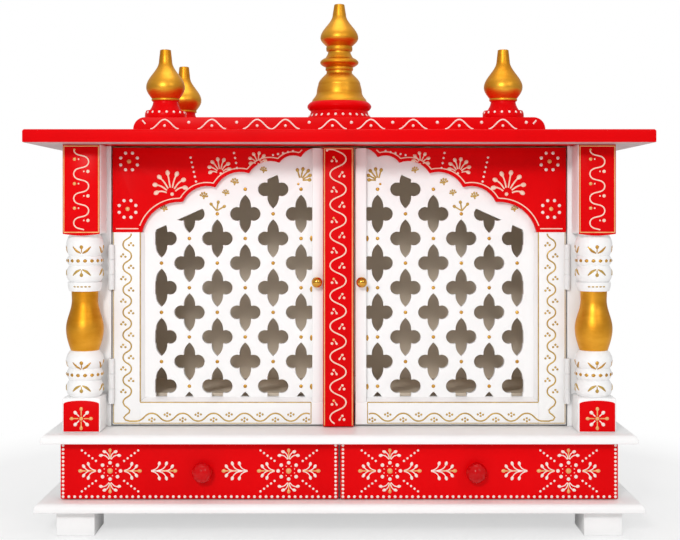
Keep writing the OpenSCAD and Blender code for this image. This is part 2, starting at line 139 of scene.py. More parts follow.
@dataclass(frozen=True)
class Finish:
    """One paint or metal, with its own unevenness and brush marks."""

    name: str
    slot: str
    colour: Colour
    shade: Colour
    roughness: float = 0.35
    roughness_spread: float = 0.08
    metallic: float = 0.0
    specular: float = 0.5
    patch_scale: float = 14.0
    patch_stretch: tuple[float, float, float] = (1.0, 1.0, 1.0)
    patch_low: float = 0.35
    patch_high: float = 0.75
    grain_scale: float = 260.0
    grain_depth: float = 0.00012
    grain_strength: float = 0.12

    def material(self) -> bpy.types.Material:
        """Makes the material, or finds the one made before.

        Returns:
            The material of this finish.
        """
        found = bpy.data.materials.get(self.name)
        if found is not None:
            return found
        made = bpy.data.materials.new(self.name)
        made.use_nodes = True
        made.node_tree.nodes.clear()
        sheet = NodeSheet(made.node_tree)
        place = sheet.add("ShaderNodeTexCoord").outputs["Object"]
        stretched = sheet.add("ShaderNodeMapping", {"Vector": place, "Scale": self.patch_stretch})
        patches = sheet.add(
            "ShaderNodeTexNoise",
            {"Vector": stretched.outputs["Vector"], "Scale": self.patch_scale, "Detail": 5.0, "Roughness": 0.6},
        )
        spread = sheet.add(
            "ShaderNodeMapRange",
            {"Value": patches.outputs["Fac"], "From Min": self.patch_low, "From Max": self.patch_high},
        )
        tint = sheet.add("ShaderNodeMix", {"Factor": spread.outputs["Result"]}, data_type="RGBA")
        tint.inputs["A"].default_value = (*self.shade, 1.0)
        tint.inputs["B"].default_value = (*self.colour, 1.0)
        gloss = sheet.add(
            "ShaderNodeMapRange",
            {
                "Value": patches.outputs["Fac"],
                "From Min": self.patch_low,
                "From Max": self.patch_high,
                "To Min": self.roughness + self.roughness_spread,
                "To Max": self.roughness - self.roughness_spread,
            },
        )
        grain = sheet.add(
            "ShaderNodeTexNoise",
            {"Vector": stretched.outputs["Vector"], "Scale": self.grain_scale, "Detail": 2.0},
        )
        bump = sheet.add(
            "ShaderNodeBump",
            {"Height": grain.outputs["Fac"], "Strength": self.grain_strength, "Distance": self.grain_depth},
        )
        shader = sheet.add(
            "ShaderNodeBsdfPrincipled",
            {
                "Base Color": tint.outputs["Result"],
                "Roughness": gloss.outputs["Result"],
                "Metallic": self.metallic,
                "Specular IOR Level": self.specular,
                "Normal": bump.outputs["Normal"],
            },
        )
        sheet.add("ShaderNodeOutputMaterial", {"Surface": shader.outputs["BSDF"]})
        return made


WHITE_ENAMEL = Finish(
    "white_enamel", "white_paint", (0.93, 0.928, 0.925), (0.89, 0.886, 0.882), roughness=0.36, specular=0.3,
    patch_scale=9.0, grain_scale=320.0,
)
RED_ENAMEL = Finish(
    "red_enamel", "red_paint", (0.78, 0.001, 0.003), (0.66, 0.0005, 0.002), roughness=0.34, specular=0.05,
    patch_scale=7.0, grain_scale=260.0,
)
RED_GLOSS = Finish(
    "red_gloss", "red_paint", (0.6, 0.001, 0.003), (0.5, 0.0005, 0.002), roughness=0.07,
    roughness_spread=0.01, specular=0.2, patch_scale=20.0, grain_strength=0.0,
)
GOLD_PAINT = Finish(
    "gilding", "gold_paint", (0.90, 0.45, 0.05), (0.66, 0.27, 0.014), roughness=0.42,
    roughness_spread=0.07, metallic=1.0, patch_scale=30.0, patch_stretch=(0.5, 0.5, 1.3),
    grain_scale=240.0, grain_depth=0.0004, grain_strength=0.3,
)
GOLD_LINE = Finish(
    "gold_line", "gold_paint", (0.62, 0.42, 0.10), (0.44, 0.27, 0.05), roughness=0.36, metallic=0.3,
    specular=0.3, patch_scale=160.0,
)
GOLD_BEAD = Finish(
    "gold_bead", "gold_paint", (0.74, 0.42, 0.08), (0.46, 0.22, 0.02), roughness=0.28, metallic=0.7,
    patch_scale=160.0,
)
CREAM_LINE = Finish(
    "cream_line", "white_paint", (0.92, 0.74, 0.62), (0.88, 0.60, 0.46), roughness=0.4, specular=0.3,
    patch_scale=120.0,
)
WHITE_BEAD = Finish(
    "white_bead", "white_paint", (0.90, 0.85, 0.80), (0.88, 0.76, 0.68), roughness=0.36, specular=0.3,
    patch_scale=120.0,
)
AMBER_BEAD = Finish(
    "amber_bead", "gold_paint", (0.86, 0.54, 0.24), (0.76, 0.38, 0.12), roughness=0.36, metallic=0.2,
    specular=0.3, patch_scale=120.0,
)
# The roof's white underside, coloured pinkish grey: painted shade, with a painted reflection of the red roof
SOFFIT_PAINTED_SHADE = Finish(
    "soffit_painted_shade", "white_paint", (0.62, 0.47, 0.46), (0.54, 0.40, 0.40), roughness=0.5, specular=0.2,
    patch_scale=9.0,
)
INSIDE_PAINT = Finish(
    "taupe_paint", "inside_paint", (0.88, 0.76, 0.62), (0.80, 0.68, 0.54), roughness=0.55, specular=0.2,
    patch_scale=6.0, patch_stretch=(0.4, 1.0, 1.0),
)
DRAWER_WOOD = Finish(
    "sanded_wood", "drawer_wood", (0.62, 0.42, 0.24), (0.46, 0.28, 0.14), roughness=0.6, specular=0.3,
    patch_scale=26.0, patch_stretch=(1.0, 0.12, 1.0), grain_scale=300.0, grain_strength=0.3,
)
HINGE_STEEL = Finish(
    "hinge_steel", "white_steel", (0.86, 0.86, 0.86), (0.78, 0.78, 0.78), roughness=0.3, patch_scale=40.0,
)
BRASS = Finish(
    "polished_brass", "knob_brass", (0.86, 0.47, 0.09), (0.66, 0.32, 0.04), roughness=0.16,
    roughness_spread=0.05, metallic=1.0, patch_scale=60.0, grain_strength=0.05,
)


# ---- Mesh making ----


def in_mm(node: str) -> tuple[Vector, Vector]:
    """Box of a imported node.

    Args:
        node: The node's name.

    Returns:
        Its lowest and highest corners, in millimetres.
    """
    low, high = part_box(node)
    return low / MM, high / MM


def settle(piece: bpy.types.Object, finish: Finish, body: str, stands_for: Sequence[str] = ()) -> bpy.types.Object:
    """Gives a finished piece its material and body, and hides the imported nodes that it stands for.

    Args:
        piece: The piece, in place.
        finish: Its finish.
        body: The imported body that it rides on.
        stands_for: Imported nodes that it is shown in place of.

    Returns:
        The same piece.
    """
    piece.data.materials.clear()
    piece.data.materials.append(finish.material())
    if stands_for:
        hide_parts(*stands_for)
    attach(piece, body)
    LOG.info("%s rides on %s, %d faces", piece.name, body, len(piece.data.polygons))
    return piece


def new_object(name: str, mesh: bpy.types.Mesh) -> bpy.types.Object:
    """Puts a mesh in the scene, at the origin."""
    made = bpy.data.objects.new(name, mesh)
    bpy.context.scene.collection.objects.link(made)
    return made


def from_shape(name: str, shape: bmesh.types.BMesh) -> bpy.types.Object:
    """Turns a shape into an object in the scene, and frees the shape."""
    mesh = bpy.data.meshes.new(name)
    shape.to_mesh(mesh)
    shape.free()
    return new_object(name, mesh)


def baked(piece: bpy.types.Object) -> bpy.types.Object:
    """Replaces a piece's modifiers by the mesh that they make.

    Args:
        piece: A piece with modifiers.

    Returns:
        The same piece, with a plain mesh.
    """
    graph = bpy.context.evaluated_depsgraph_get()
    plain = bpy.data.meshes.new_from_object(piece.evaluated_get(graph), depsgraph=graph)
    piece.modifiers.clear()
    piece.data = plain
    return piece


def smooth(mesh: bpy.types.Mesh, crease_deg: float = 32.0) -> None:
    """Shades a mesh smoothly, with sharp edges past an angle."""
    mesh.shade_smooth()
    mesh.set_sharp_from_angle(angle=math.radians(crease_deg))


def rounded(
    piece: bpy.types.Object, width: float, segments: int = 3, corner_deg: float = 40.0
) -> bpy.types.Object:
    """Rounds a piece's sharp edges and shades it smoothly.

    Args:
        piece: The piece.
        width: Width of the rounding, in millimetres.
        segments: Faces across the rounding.
        corner_deg: Least angle of an edge that is rounded.

    Returns:
        The same piece.
    """
    edge = piece.modifiers.new("rounded_edges", "BEVEL")
    edge.width, edge.segments = width * MM, segments
    edge.limit_method, edge.angle_limit = "ANGLE", math.radians(corner_deg)
    baked(piece)
    smooth(piece.data)
    return piece


def eased_copy(node: str, width: float = 0.8) -> bpy.types.Object:
    """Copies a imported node's mesh and rounds its sharp edges, as sanding and paint do.

    Args:
        node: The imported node.
        width: Width of the rounding, in millimetres.

    Returns:
        The copy.
    """
    shape = bmesh.new()
    shape.from_mesh(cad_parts[node].data)
    bmesh.ops.remove_doubles(shape, verts=shape.verts, dist=1e-6)
    flat = math.radians(0.5)
    bmesh.ops.dissolve_limit(shape, angle_limit=flat, verts=shape.verts, edges=shape.edges)
    return rounded(from_shape(f"{node}_painted", shape), width)


@dataclass(frozen=True)
class Stretch:
    """One stretch of a turning: its height, end radius and shape, in millimetres."""

    height: float
    end_r: float
    turn: Turn = Turn.LINE
    swell: float = 0.0


def turned_outline(start_r: float, stretches: Sequence[Stretch], steps: int = 14) -> list[Point]:
    """Works out the outline of a turning.

    Args:
        start_r: Radius at the foot.
        stretches: Its stretches, from the foot up.
        steps: Points along each curved stretch.

    Returns:
        Points as (radius, height), from the foot up.
    """
    outline = [(start_r, 0.0)]
    r, z = start_r, 0.0
    for part in stretches:
        plain = part.turn is Turn.LINE and part.swell == 0
        count = 1 if plain else steps
        for i in range(1, count + 1):
            t = (1 - math.cos(math.pi * i / count)) / 2 if part.swell else i / count
            bulge = part.swell * max(0.0, math.sin(math.pi * t)) ** 0.8
            outline.append((r + (part.end_r - r) * part.turn.share(t) + bulge, z + part.height * t))
        r, z = part.end_r, z + part.height
    return outline


def radius_at(outline: Sequence[Point], z: float) -> float:
    """Radius of a turning at a height.

    Args:
        outline: Points as (radius, height), from the foot up.
        z: The height.

    Returns:
        The radius there.
    """
    for (r0, z0), (r1, z1) in zip(outline, outline[1:]):
        if z0 <= z <= z1 and z1 > z0:
            return r0 + (r1 - r0) * (z - z0) / (z1 - z0)
    return outline[-1][0]


def lathe(name: str, outline: Sequence[Point], foot: Vector, segments: int = 96) -> bpy.types.Object:
    """Turns an outline about an upright axis into a closed solid.

    Args:
        name: The piece's name.
        outline: Points as (radius, height), in millimetres, from the foot up.
        foot: Place of the axis at height 0, in millimetres.
        segments: Sides of each ring.

    Returns:
        The turned piece.
    """
    shape = bmesh.new()
    rings = []
    for r, z in outline:
        ring = []
        for i in range(segments):
            a = 2 * math.pi * i / segments
            ring.append(shape.verts.new((foot + Vector((r * math.cos(a), r * math.sin(a), z))) * MM))
        rings.append(ring)
    for low, high in zip(rings, rings[1:]):
        for i in range(segments):
            j = (i + 1) % segments
            shape.faces.new((low[i], low[j], high[j], high[i]))
    shape.faces.new(list(reversed(rings[0])))
    shape.faces.new(rings[-1])
    piece = from_shape(name, shape)
    smooth(piece.data)
    return piece


def plate(name: str, outline: Sequence[Point], front_y: float, depth: float, edge: float) -> bpy.types.Object:
    """Makes a thin plate that faces the front, from an outline in X and Z.

    Args:
        name: The piece's name.
        outline: Corners as (x, z), in millimetres, counter-clockwise from the front.
        front_y: Place of its front face.
        depth: Its thickness.
        edge: Width of the rounding along its edges.

    Returns:
        The plate.
    """
    shape = bmesh.new()
    front = [shape.verts.new(Vector((x, front_y, z)) * MM) for x, z in outline]
    face = shape.faces.new(front)
    grown = bmesh.ops.extrude_face_region(shape, geom=[face])["geom"]
    back = [v for v in grown if isinstance(v, bmesh.types.BMVert)]
    bmesh.ops.translate(shape, vec=Vector((0, depth * MM, 0)), verts=back)
    bmesh.ops.recalc_face_normals(shape, faces=shape.faces)
    return rounded(from_shape(name, shape), edge, segments=2, corner_deg=50)


# ---- Brush-painted ornament ----


def paint_tree(name: str, grow: Callable[..., bpy.types.NodeSocket]) -> bpy.types.NodeTree:
    """Node tree that turns the points of a flat sheet into low relief of thick paint.

    Args:
        name: The tree's name.
        grow: Adds the nodes that thicken the points. It takes the node sheet, the group's inputs
            and the socket of the brush's half width, and returns the socket of the thick paint.

    Returns:
        The tree, with inputs Relief, Sides and Paint.
    """
    tree = bpy.data.node_groups.new(name, "GeometryNodeTree")
    for socket, kind in (("Geometry", "Geometry"), ("Relief", "Float"), ("Sides", "Int"), ("Paint", "Material")):
        tree.interface.new_socket(socket, in_out="INPUT", socket_type=f"NodeSocket{kind}")
    tree.interface.new_socket("Geometry", in_out="OUTPUT", socket_type="NodeSocketGeometry")
    sheet = NodeSheet(tree)
    given = sheet.add("NodeGroupInput").outputs
    brush = sheet.add("GeometryNodeInputNamedAttribute", {"Name": "brush"}, data_type="FLOAT")
    thick = grow(sheet, given, brush.outputs["Attribute"])
    whole = sheet.add("GeometryNodeRealizeInstances", {"Geometry": thick}).outputs["Geometry"]
    flat = sheet.add("ShaderNodeCombineXYZ", {"X": 1.0, "Y": 1.0, "Z": given["Relief"]}).outputs["Vector"]
    pressed = sheet.add("GeometryNodeTransform", {"Geometry": whole, "Scale": flat}).outputs["Geometry"]
    dressed = sheet.add("GeometryNodeSetMaterial", {"Geometry": pressed, "Material": given["Paint"]})
    sheet.add("NodeGroupOutput", {"Geometry": dressed.outputs["Geometry"]})
    return tree


def stroke_tree() -> bpy.types.NodeTree:
    """Node tree that turns polylines into strokes."""

    def grow(sheet: NodeSheet, given: bpy.types.NodeOutputs, brush: bpy.types.NodeSocket) -> bpy.types.NodeSocket:
        """Sweeps a round brush along the lines."""
        path = sheet.add("GeometryNodeMeshToCurve", {"Mesh": given["Geometry"]}).outputs["Curve"]
        ring = sheet.add("GeometryNodeCurvePrimitiveCircle", {"Resolution": given["Sides"], "Radius": 1.0})
        swept = sheet.add(
            "GeometryNodeCurveToMesh",
            {"Curve": path, "Profile Curve": ring.outputs["Curve"], "Scale": brush, "Fill Caps": True},
        )
        return swept.outputs["Mesh"]

    return paint_tree("paint_strokes", grow)


def bead_tree() -> bpy.types.NodeTree:
    """Node tree that puts a bead on each point."""

    def grow(sheet: NodeSheet, given: bpy.types.NodeOutputs, brush: bpy.types.NodeSocket) -> bpy.types.NodeSocket:
        """Places a ball on each point."""
        ball = sheet.add("GeometryNodeMeshUVSphere", {"Segments": given["Sides"], "Rings": 6, "Radius": 1.0})
        placed = sheet.add(
            "GeometryNodeInstanceOnPoints",
            {"Points": given["Geometry"], "Instance": ball.outputs["Mesh"], "Scale": brush},
        )
        return placed.outputs["Instances"]

    return paint_tree("paint_beads", grow)


@dataclass
class Trees:
    """The node trees that all ornament shares, made once."""

    strokes: bpy.types.NodeTree = field(default_factory=stroke_tree)
    beads: bpy.types.NodeTree = field(default_factory=bead_tree)


def flat_front(front_y: float) -> Surface:
    """Surface of an upright face at front_y: sheet X and Y become X and Z."""
    return lambda p: Vector((p.x, front_y - p.z, p.y))


def turned_face(foot: Vector, outline: Sequence[Point], ref_r: float) -> Surface:
    """Surface of a turning, whose front line is the sheet's upright middle.

    Args:
        foot: Place of the axis at height 0.
        outline: The turning's outline.
        ref_r: Radius at which the sheet's X is a true arc length.

    Returns:
        The surface: sheet Y is a height above the foot.
    """

    def place(p: Vector) -> Vector:
        """Wraps one point of the sheet round the turning."""
        angle = p.x / ref_r
        reach = radius_at(outline, p.y) + p.z
        return Vector((foot.x + reach * math.sin(angle), foot.y - reach * math.cos(angle), foot.z + p.y))

    return place


@dataclass
class Brushwork:
    """Strokes and beads of one paint on one surface, in millimetres on its flat sheet."""

    name: str
    finish: Finish
    surface: Surface
    mirror: int = 1
    relief: float = 0.42
    stroke_sides: int = 8
    bead_sides: int = 10
    thin_end: float = 0.35
    strokes: list[list[tuple[float, float, float]]] = field(default_factory=list)
    beads: list[tuple[float, float, float]] = field(default_factory=list)

    def line(self, points: Iterable[Point], width: float, taper: bool = False) -> None:
        """Draws one stroke.

        Args:
            points: The points it follows.
            width: Its width.
            taper: Whether it thins out towards both ends.
        """
        path = list(points)
        last = max(1, len(path) - 1)
        half = width / 2
        drawn = []
        for i, (x, y) in enumerate(path):
            share = math.sin(math.pi * i / last) if taper else 1.0
            drawn.append((x * self.mirror, y, half * (self.thin_end + (1 - self.thin_end) * share)))
        self.strokes.append(drawn)

    def bead(self, x: float, y: float, width: float) -> None:
        """Sets one round bead."""
        self.beads.append((x * self.mirror, y, width / 2))

    def bead_ring(self, x: float, y: float, radii: Point, count: int, width: float, turn: float = 0.0) -> None:
        """Sets beads round an ellipse.

        Args:
            x: Middle of the ellipse across.
            y: Middle of the ellipse upwards.
            radii: Its two radii.
            count: Number of beads.
            width: Width of a bead.
            turn: Angle of the first bead, in degrees.
        """
        for i in range(count):
            a = math.radians(turn + 360 * i / count)
            self.bead(x + radii[0] * math.cos(a), y + radii[1] * math.sin(a), width)

    def petal(self, root: Point, tip: Point, width: float, stem: float = 0.32, bend: float = 0.0) -> None:
        """Draws a petal: a thin stem with a round head.

        Args:
            root: Where the stem begins.
            tip: Where the petal ends.
            width: Width of its head.
            stem: Width of the stem, as a share of the head's.
            bend: How far the middle bows to the left, as a share of its length.
        """
        steps = 18
        dx, dy = tip[0] - root[0], tip[1] - root[1]
        head = min(0.5, width / 2 / math.hypot(dx, dy) * 1.15)
        drawn = []
        for i in range(steps + 1):
            t = 1 - (1 - i / steps) ** 1.6
            bow = bend * math.sin(math.pi * t)
            off = (t - 1 + head) / head
            share = max(stem if t < 1 - head else 0.12, math.sqrt(max(0.0, 1 - off * off)))
            x = root[0] + dx * t - dy * bow
            y = root[1] + dy * t + dx * bow
            drawn.append((x * self.mirror, y, width / 2 * share))
        self.strokes.append(drawn)

    def fan(self, root: Point, angles: Sequence[float], length: float, width: float, start: float = 0.0) -> None:
        """Draws a spray of petals from one root.

        Args:
            root: Where the petals meet.
            angles: Directions of the petals, in degrees from +X.
            length: Distance from the root to the tips.
            width: Width of a petal.
            start: Distance from the root to where each petal begins.
        """
        for angle in angles:
            a = math.radians(angle)
            way = (math.cos(a), math.sin(a))
            foot = (root[0] + start * way[0], root[1] + start * way[1])
            self.petal(foot, (root[0] + length * way[0], root[1] + length * way[1]), width)

    def sheet_mesh(self, part: str, runs: Sequence[Run]) -> bpy.types.Object:
        """Puts runs of points on a sheet, joined point to point within a run.

        Args:
            part: Last word of the name.
            runs: Runs of (x, y, half width).

        Returns:
            The sheet, with the half widths in the attribute "brush".
        """
        points = [p for run in runs for p in run]
        edges, start = [], 0
        for run in runs:
            edges += [(start + i, start + i + 1) for i in range(len(run) - 1)]
            start += len(run)
        mesh = bpy.data.meshes.new(f"{self.name}_{part}")
        mesh.from_pydata([(x, y, 0.0) for x, y, _ in points], edges, [])
        brush = mesh.attributes.new("brush", "FLOAT", "POINT")
        brush.data.foreach_set("value", [r for _, _, r in points])
        return new_object(f"{self.name}_{part}", mesh)

    def grown(self, part: str, tree: bpy.types.NodeTree, sides: int, runs: Sequence[Run]) -> bpy.types.Object:
        """Turns runs of points into paint with a node tree.

        Args:
            part: Last word of the name.
            tree: The node tree.
            sides: Sides of each stroke or bead.
            runs: Runs of (x, y, half width).

        Returns:
            The piece, still on its flat sheet.
        """
        piece = self.sheet_mesh(part, runs)
        growth = piece.modifiers.new(part, "NODES")
        growth.node_group = tree
        named = {s.name: s.identifier for s in tree.interface.items_tree if s.in_out == "INPUT"}
        growth[named["Relief"]] = self.relief
        growth[named["Sides"]] = sides
        growth[named["Paint"]] = self.finish.material()
        return baked(piece)

    def lay(self, trees: Trees, body: str) -> None:
        """Makes the paint and lays it on its surface.

        Args:
            trees: The node trees for strokes and beads.
            body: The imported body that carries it.
        """
        made = []
        if self.strokes:
            made.append(self.grown("strokes", trees.strokes, self.stroke_sides, self.strokes))
        if self.beads:
            made.append(self.grown("beads", trees.beads, self.bead_sides, [[b] for b in self.beads]))
        for piece in made:
            for vertex in piece.data.vertices:
                vertex.co = self.surface(vertex.co) * MM
            piece.data.shade_smooth()
            facing_out(piece.data)
            settle(piece, self.finish, body)


def lay_all(trees: Trees, body: str, *works: Brushwork) -> None:
    """Lays several brushworks on one body, in order."""
    for work in works:
        work.lay(trees, body)


def facing_out(mesh: bpy.types.Mesh) -> None:
    """Turns every face of a mesh of closed shells outwards."""
    shape = bmesh.new()
    shape.from_mesh(mesh)
    bmesh.ops.recalc_face_normals(shape, faces=shape.faces)
    shape.to_mesh(mesh)
    shape.free()


def wave(start: Point, end: Point, swing: float, period: float, phase: float = 0.0, round_share: float = 0.3,
         step: float = 0.9) -> list[Point]:
    """Points of a winding vine.

    Args:
        start: Where it begins.
        end: Where it ends.
        swing: How far it swings to each side.
        period: Length of one full swing.
        phase: Angle at its start, in degrees.
        round_share: How far the bends are rounded out, from 0 (a sine) to 0.5.
        step: Distance between points.

    Returns:
        The points.
    """
    dx, dy = end[0] - start[0], end[1] - start[1]
    length = math.hypot(dx, dy)
    ux, uy = dx / length, dy / length
    count = max(2, round(length / step))
    points = []
    for i in range(count + 1):
        s = length * i / count
        angle = 2 * math.pi * s / period + math.radians(phase)
        off = swing * math.sin(angle)
        s -= round_share * period / (2 * math.pi) * math.sin(2 * angle)
        points.append((start[0] + ux * s - uy * off, start[1] + uy * s + ux * off))
    return points


def between(a: Point, b: Point, count: int) -> list[Point]:
    """Points spread evenly from a to b, both included."""
    last = max(1, count - 1)
    return [(a[0] + (b[0] - a[0]) * i / last, a[1] + (b[1] - a[1]) * i / last) for i in range(count)]


# ---- Carcass: boards, roof and feet ----


@dataclass
class Carcass:
    """The fixed boards of the cabinet, with eased edges."""

    plain: tuple[str, ...] = (
        "feet", "lower_base_board", "drawer_case_sides", "drawer_case_back", "drawer_case_divider",
        "upper_base_board", "jambs",
    )
    panels: tuple[str, ...] = ("cabinet_left_side", "cabinet_right_side", "cabinet_back")
    inner: tuple[str, ...] = ("platform_top", "platform_riser")
    lining_t: float = 0.3
    soffit_t: float = 0.25
    soffit_inset: float = 1.0

    def build(self) -> None:
        """Makes and dresses every fixed board."""
        for node in self.plain:
            settle(eased_copy(node, 1.0), WHITE_ENAMEL, "root", [node])
        for node in self.inner:
            settle(eased_copy(node, 0.8), INSIDE_PAINT, "root", [node])
        settle(eased_copy("roof_board", 0.8), RED_ENAMEL, "root", ["roof_board"])
        settle(eased_copy("roof_plinth", 0.6), RED_ENAMEL, "root", ["roof_plinth"])
        for node in self.panels:
            settle(eased_copy(node, 0.8), WHITE_ENAMEL, "root", [node])
        self.lining()
        self.roof_underside()

    def lining(self) -> None:
        """Paints the inside faces of the cabinet's panels in the inside colour."""
        back_low, back_high = in_mm("cabinet_back")
        floor_z = in_mm("platform_top")[1].z
        front_y = in_mm("jambs")[1].y
        t = self.lining_t
        skins = {
            "back_lining": ((back_low.x, back_low.y - t, floor_z), (back_high.x, back_low.y, back_high.z)),
            "left_lining": ((back_low.x, front_y, floor_z), (back_low.x + t, back_low.y - t, back_high.z)),
            "right_lining": ((back_high.x - t, front_y, floor_z), (back_high.x, back_low.y - t, back_high.z)),
            "ceiling_lining": (
                (back_low.x + t, front_y, back_high.z - t), (back_high.x - t, back_low.y - t, back_high.z)
            ),
        }
        for name, (low, high) in skins.items():
            settle(slab(name, Vector(low), Vector(high)), INSIDE_PAINT, "root")

    def roof_underside(self) -> None:
        """Paints the underside of the roof's overhang pinkish grey: white paint with painted shade and a painted
        reflection of the red roof.
        """
        low, high = in_mm("roof_board")
        inset = self.soffit_inset
        left, right = in_mm("left_column"), in_mm("right_column")
        front, back = left[0].y, in_mm("cabinet_back")[1].y
        strips = {
            "soffit_front": ((low.x + inset, low.y + inset), (high.x - inset, front)),
            "soffit_back": ((low.x + inset, back), (high.x - inset, high.y - inset)),
            "soffit_left": ((low.x + inset, front), (left[0].x, back)),
            "soffit_right": ((right[1].x, front), (high.x - inset, back)),
        }
        for name, (near, far) in strips.items():
            skin = slab(name, Vector((*near, low.z - self.soffit_t)), Vector((*far, low.z)))
            settle(skin, SOFFIT_PAINTED_SHADE, "root")


def slab(name: str, low: Vector, high: Vector) -> bpy.types.Object:
    """Makes a thin skin of paint between two corners, in millimetres.

    Args:
        name: The piece's name.
        low: Lowest corner.
        high: Highest corner.

    Returns:
        The skin.
    """
    shape = bmesh.new()
    bmesh.ops.create_cube(shape, size=1.0)
    size, middle = (high - low) * MM, (high + low) / 2 * MM
    bmesh.ops.scale(shape, vec=size, verts=shape.verts)
    bmesh.ops.translate(shape, vec=middle, verts=shape.verts)
    return from_shape(name, shape)


# ---- Columns ----


@dataclass
class Column:
    """One front column: a white turning with a gilded vase between square blocks."""

    side: Side
    trees: Trees
    foot_r: float = 17.0
    below: tuple[Stretch, ...] = (
        Stretch(18.2, 16.8, swell=3.7), Stretch(13.2, 17.2, swell=3.1), Stretch(19.6, 15.6, swell=4.3),
    )
    vase: tuple[Stretch, ...] = (Stretch(24, 20.8, Turn.RISE), Stretch(32, 14.4, Turn.EASE), Stretch(10, 14.8))
    above: tuple[Stretch, ...] = (
        Stretch(0, 17.2), Stretch(10, 18.8, swell=0.6), Stretch(0, 16.6), Stretch(18.5, 16.8, swell=3.7),
        Stretch(11, 17.2, swell=2.8), Stretch(22.5, 17.2, swell=3.4), Stretch(2, 17),
    )
    base_h: float = 38.0
    block_edge: float = 1.6
    ref_r: float = 19.5
    panel_t: float = 0.3
    panel_sink: float = 0.2
    panel_edge: float = 0.12
    vine_period: float = 27.0
    vine_swing: float = 8.2
    flower_petals: int = 8
    # Sprigs on the white beads: height of the root, rise of the side strokes, and up or down
    sprigs: tuple[tuple[float, float, int], ...] = (
        (31.4, 7.6, 1), (13.6, 6.6, -1), (159.2, 7.6, 1), (141.6, 6.8, -1),
    )
    dotted_rings: tuple[float, ...] = (24.8, 151.0)
    ring_dots: int = 16
    collar_z: float = 122.4

    @property
    def node(self) -> str:
        """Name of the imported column."""
        return f"{self.side.value}_column"

    def build(self) -> None:
        """Makes the column's blocks, turning and painted panels."""
        low, high = in_mm(self.node)
        axis = Vector(((low.x + high.x) / 2, (low.y + high.y) / 2, low.z + self.base_h))
        outline = turned_outline(self.foot_r, self.below + self.vase + self.above)
        heights = [sum(s.height for s in part) for part in (self.below, self.vase, self.above)]
        block_z = axis.z + sum(heights)
        parts = {
            "lower_turning": (self.foot_r, self.below, 0.0, WHITE_ENAMEL),
            "vase": (self.below[-1].end_r, self.vase, heights[0], GOLD_PAINT),
            "upper_turning": (self.vase[-1].end_r, self.above, heights[0] + heights[1], WHITE_ENAMEL),
        }
        for name, (start_r, part, z, finish) in parts.items():
            turned = lathe(f"{self.node}_{name}", turned_outline(start_r, part), axis + Vector((0, 0, z)))
            settle(turned, finish, "root", [self.node])
        for name, bottom, top in (("base_block", low.z, axis.z), ("top_block", block_z, high.z)):
            block = slab(f"{self.node}_{name}", Vector((low.x, low.y, bottom)), Vector((high.x, high.y, top)))
            settle(rounded(block, self.block_edge), WHITE_ENAMEL, "root", [self.node])
        self.top_panel(low, high, block_z)
        self.base_panel(low, axis)
        self.turned_ornament(axis, outline)

    def panel(self, part: str, outline: Sequence[Point], face_y: float) -> None:
        """Makes one red panel, sunk a little into its block."""
        made = plate(f"{self.node}_{part}", outline, face_y, self.panel_t + self.panel_sink, self.panel_edge)
        settle(made, RED_ENAMEL, "root")

    def top_panel(self, low: Vector, high: Vector, block_z: float) -> None:
        """Paints the red face of the top block, with its border and vine."""
        x0, x1, z1 = low.x + 0.7, high.x - 0.7, high.z - 0.8
        shares = [i / 12 for i in range(13)]
        sag = [(x0 + (x1 - x0) * t, block_z - 0.2 - 1.8 * math.sin(math.pi * t)) for t in shares]
        face_y = low.y - self.panel_t
        self.panel("top_panel", [(x1, z1), (x0, z1)] + sag, face_y)
        mid, border_inset = (low.x + high.x) / 2, 1.9
        paint = Brushwork(f"{self.node}_vine", CREAM_LINE, flat_front(face_y))
        beads = Brushwork(f"{self.node}_vine_gold", AMBER_BEAD, flat_front(face_y))
        top, bottom, period = z1 - 6, block_z + 3.5, self.vine_period
        paint.line(wave((mid, top), (mid, bottom), self.vine_swing, period, phase=-80), 1.5)
        for i in range(int((top - bottom) / period * 2)):
            z = top - 4 - i * period / 2
            out = -1 if i % 2 == 0 else 1
            (beads if i % 2 == 0 else paint).bead(mid + out * 7.4, z - 6, 3.9)
            paint.bead(mid + out * 2.9, z - 6, 1.9)
        beads.bead(mid - 7.5, top + 0.5, 2.6)
        left, right = low.x + border_inset, high.x - border_inset
        foot, head = block_z + 1.6, z1 - 1.6
        border = Brushwork(f"{self.node}_border", AMBER_BEAD, flat_front(face_y))
        corners = [(left, foot), (right, foot), (right, head), (left, head)]
        for a, b in zip(corners, corners[1:] + corners[:1]):
            border.line(between(a, b, 12), 1.2)
        lay_all(self.trees, "root", paint, beads, border)

    def base_panel(self, low: Vector, axis: Vector) -> None:
        """Paints the arch-topped red panel on the base block, with its eight-petalled flower."""
        half, rise, crown = 19.6, 3.6, axis.z - 2.6
        arch = [(axis.x + half * math.cos(math.pi * i / 12), crown - rise + rise * math.sin(math.pi * i / 12))
                for i in range(13)]
        foot = low.z + 1.2
        face_y = low.y - self.panel_t
        outline = [(axis.x - half, foot), (axis.x + half, foot)] + arch
        self.panel("base_panel", outline, face_y)
        middle = (axis.x, low.z + 15.6)
        pale = Brushwork(f"{self.node}_flower_pale", WHITE_BEAD, flat_front(face_y))
        warm = Brushwork(f"{self.node}_flower_warm", AMBER_BEAD, flat_front(face_y))
        for i in range(self.flower_petals):
            brush, length = (warm, 12.8) if i % 2 == 0 else (pale, 11.4)
            brush.fan(middle, [360 / self.flower_petals * i], length, 3.9, start=3.2)
        warm.bead(*middle, 4.8)
        lay_all(self.trees, "root", pale, warm)

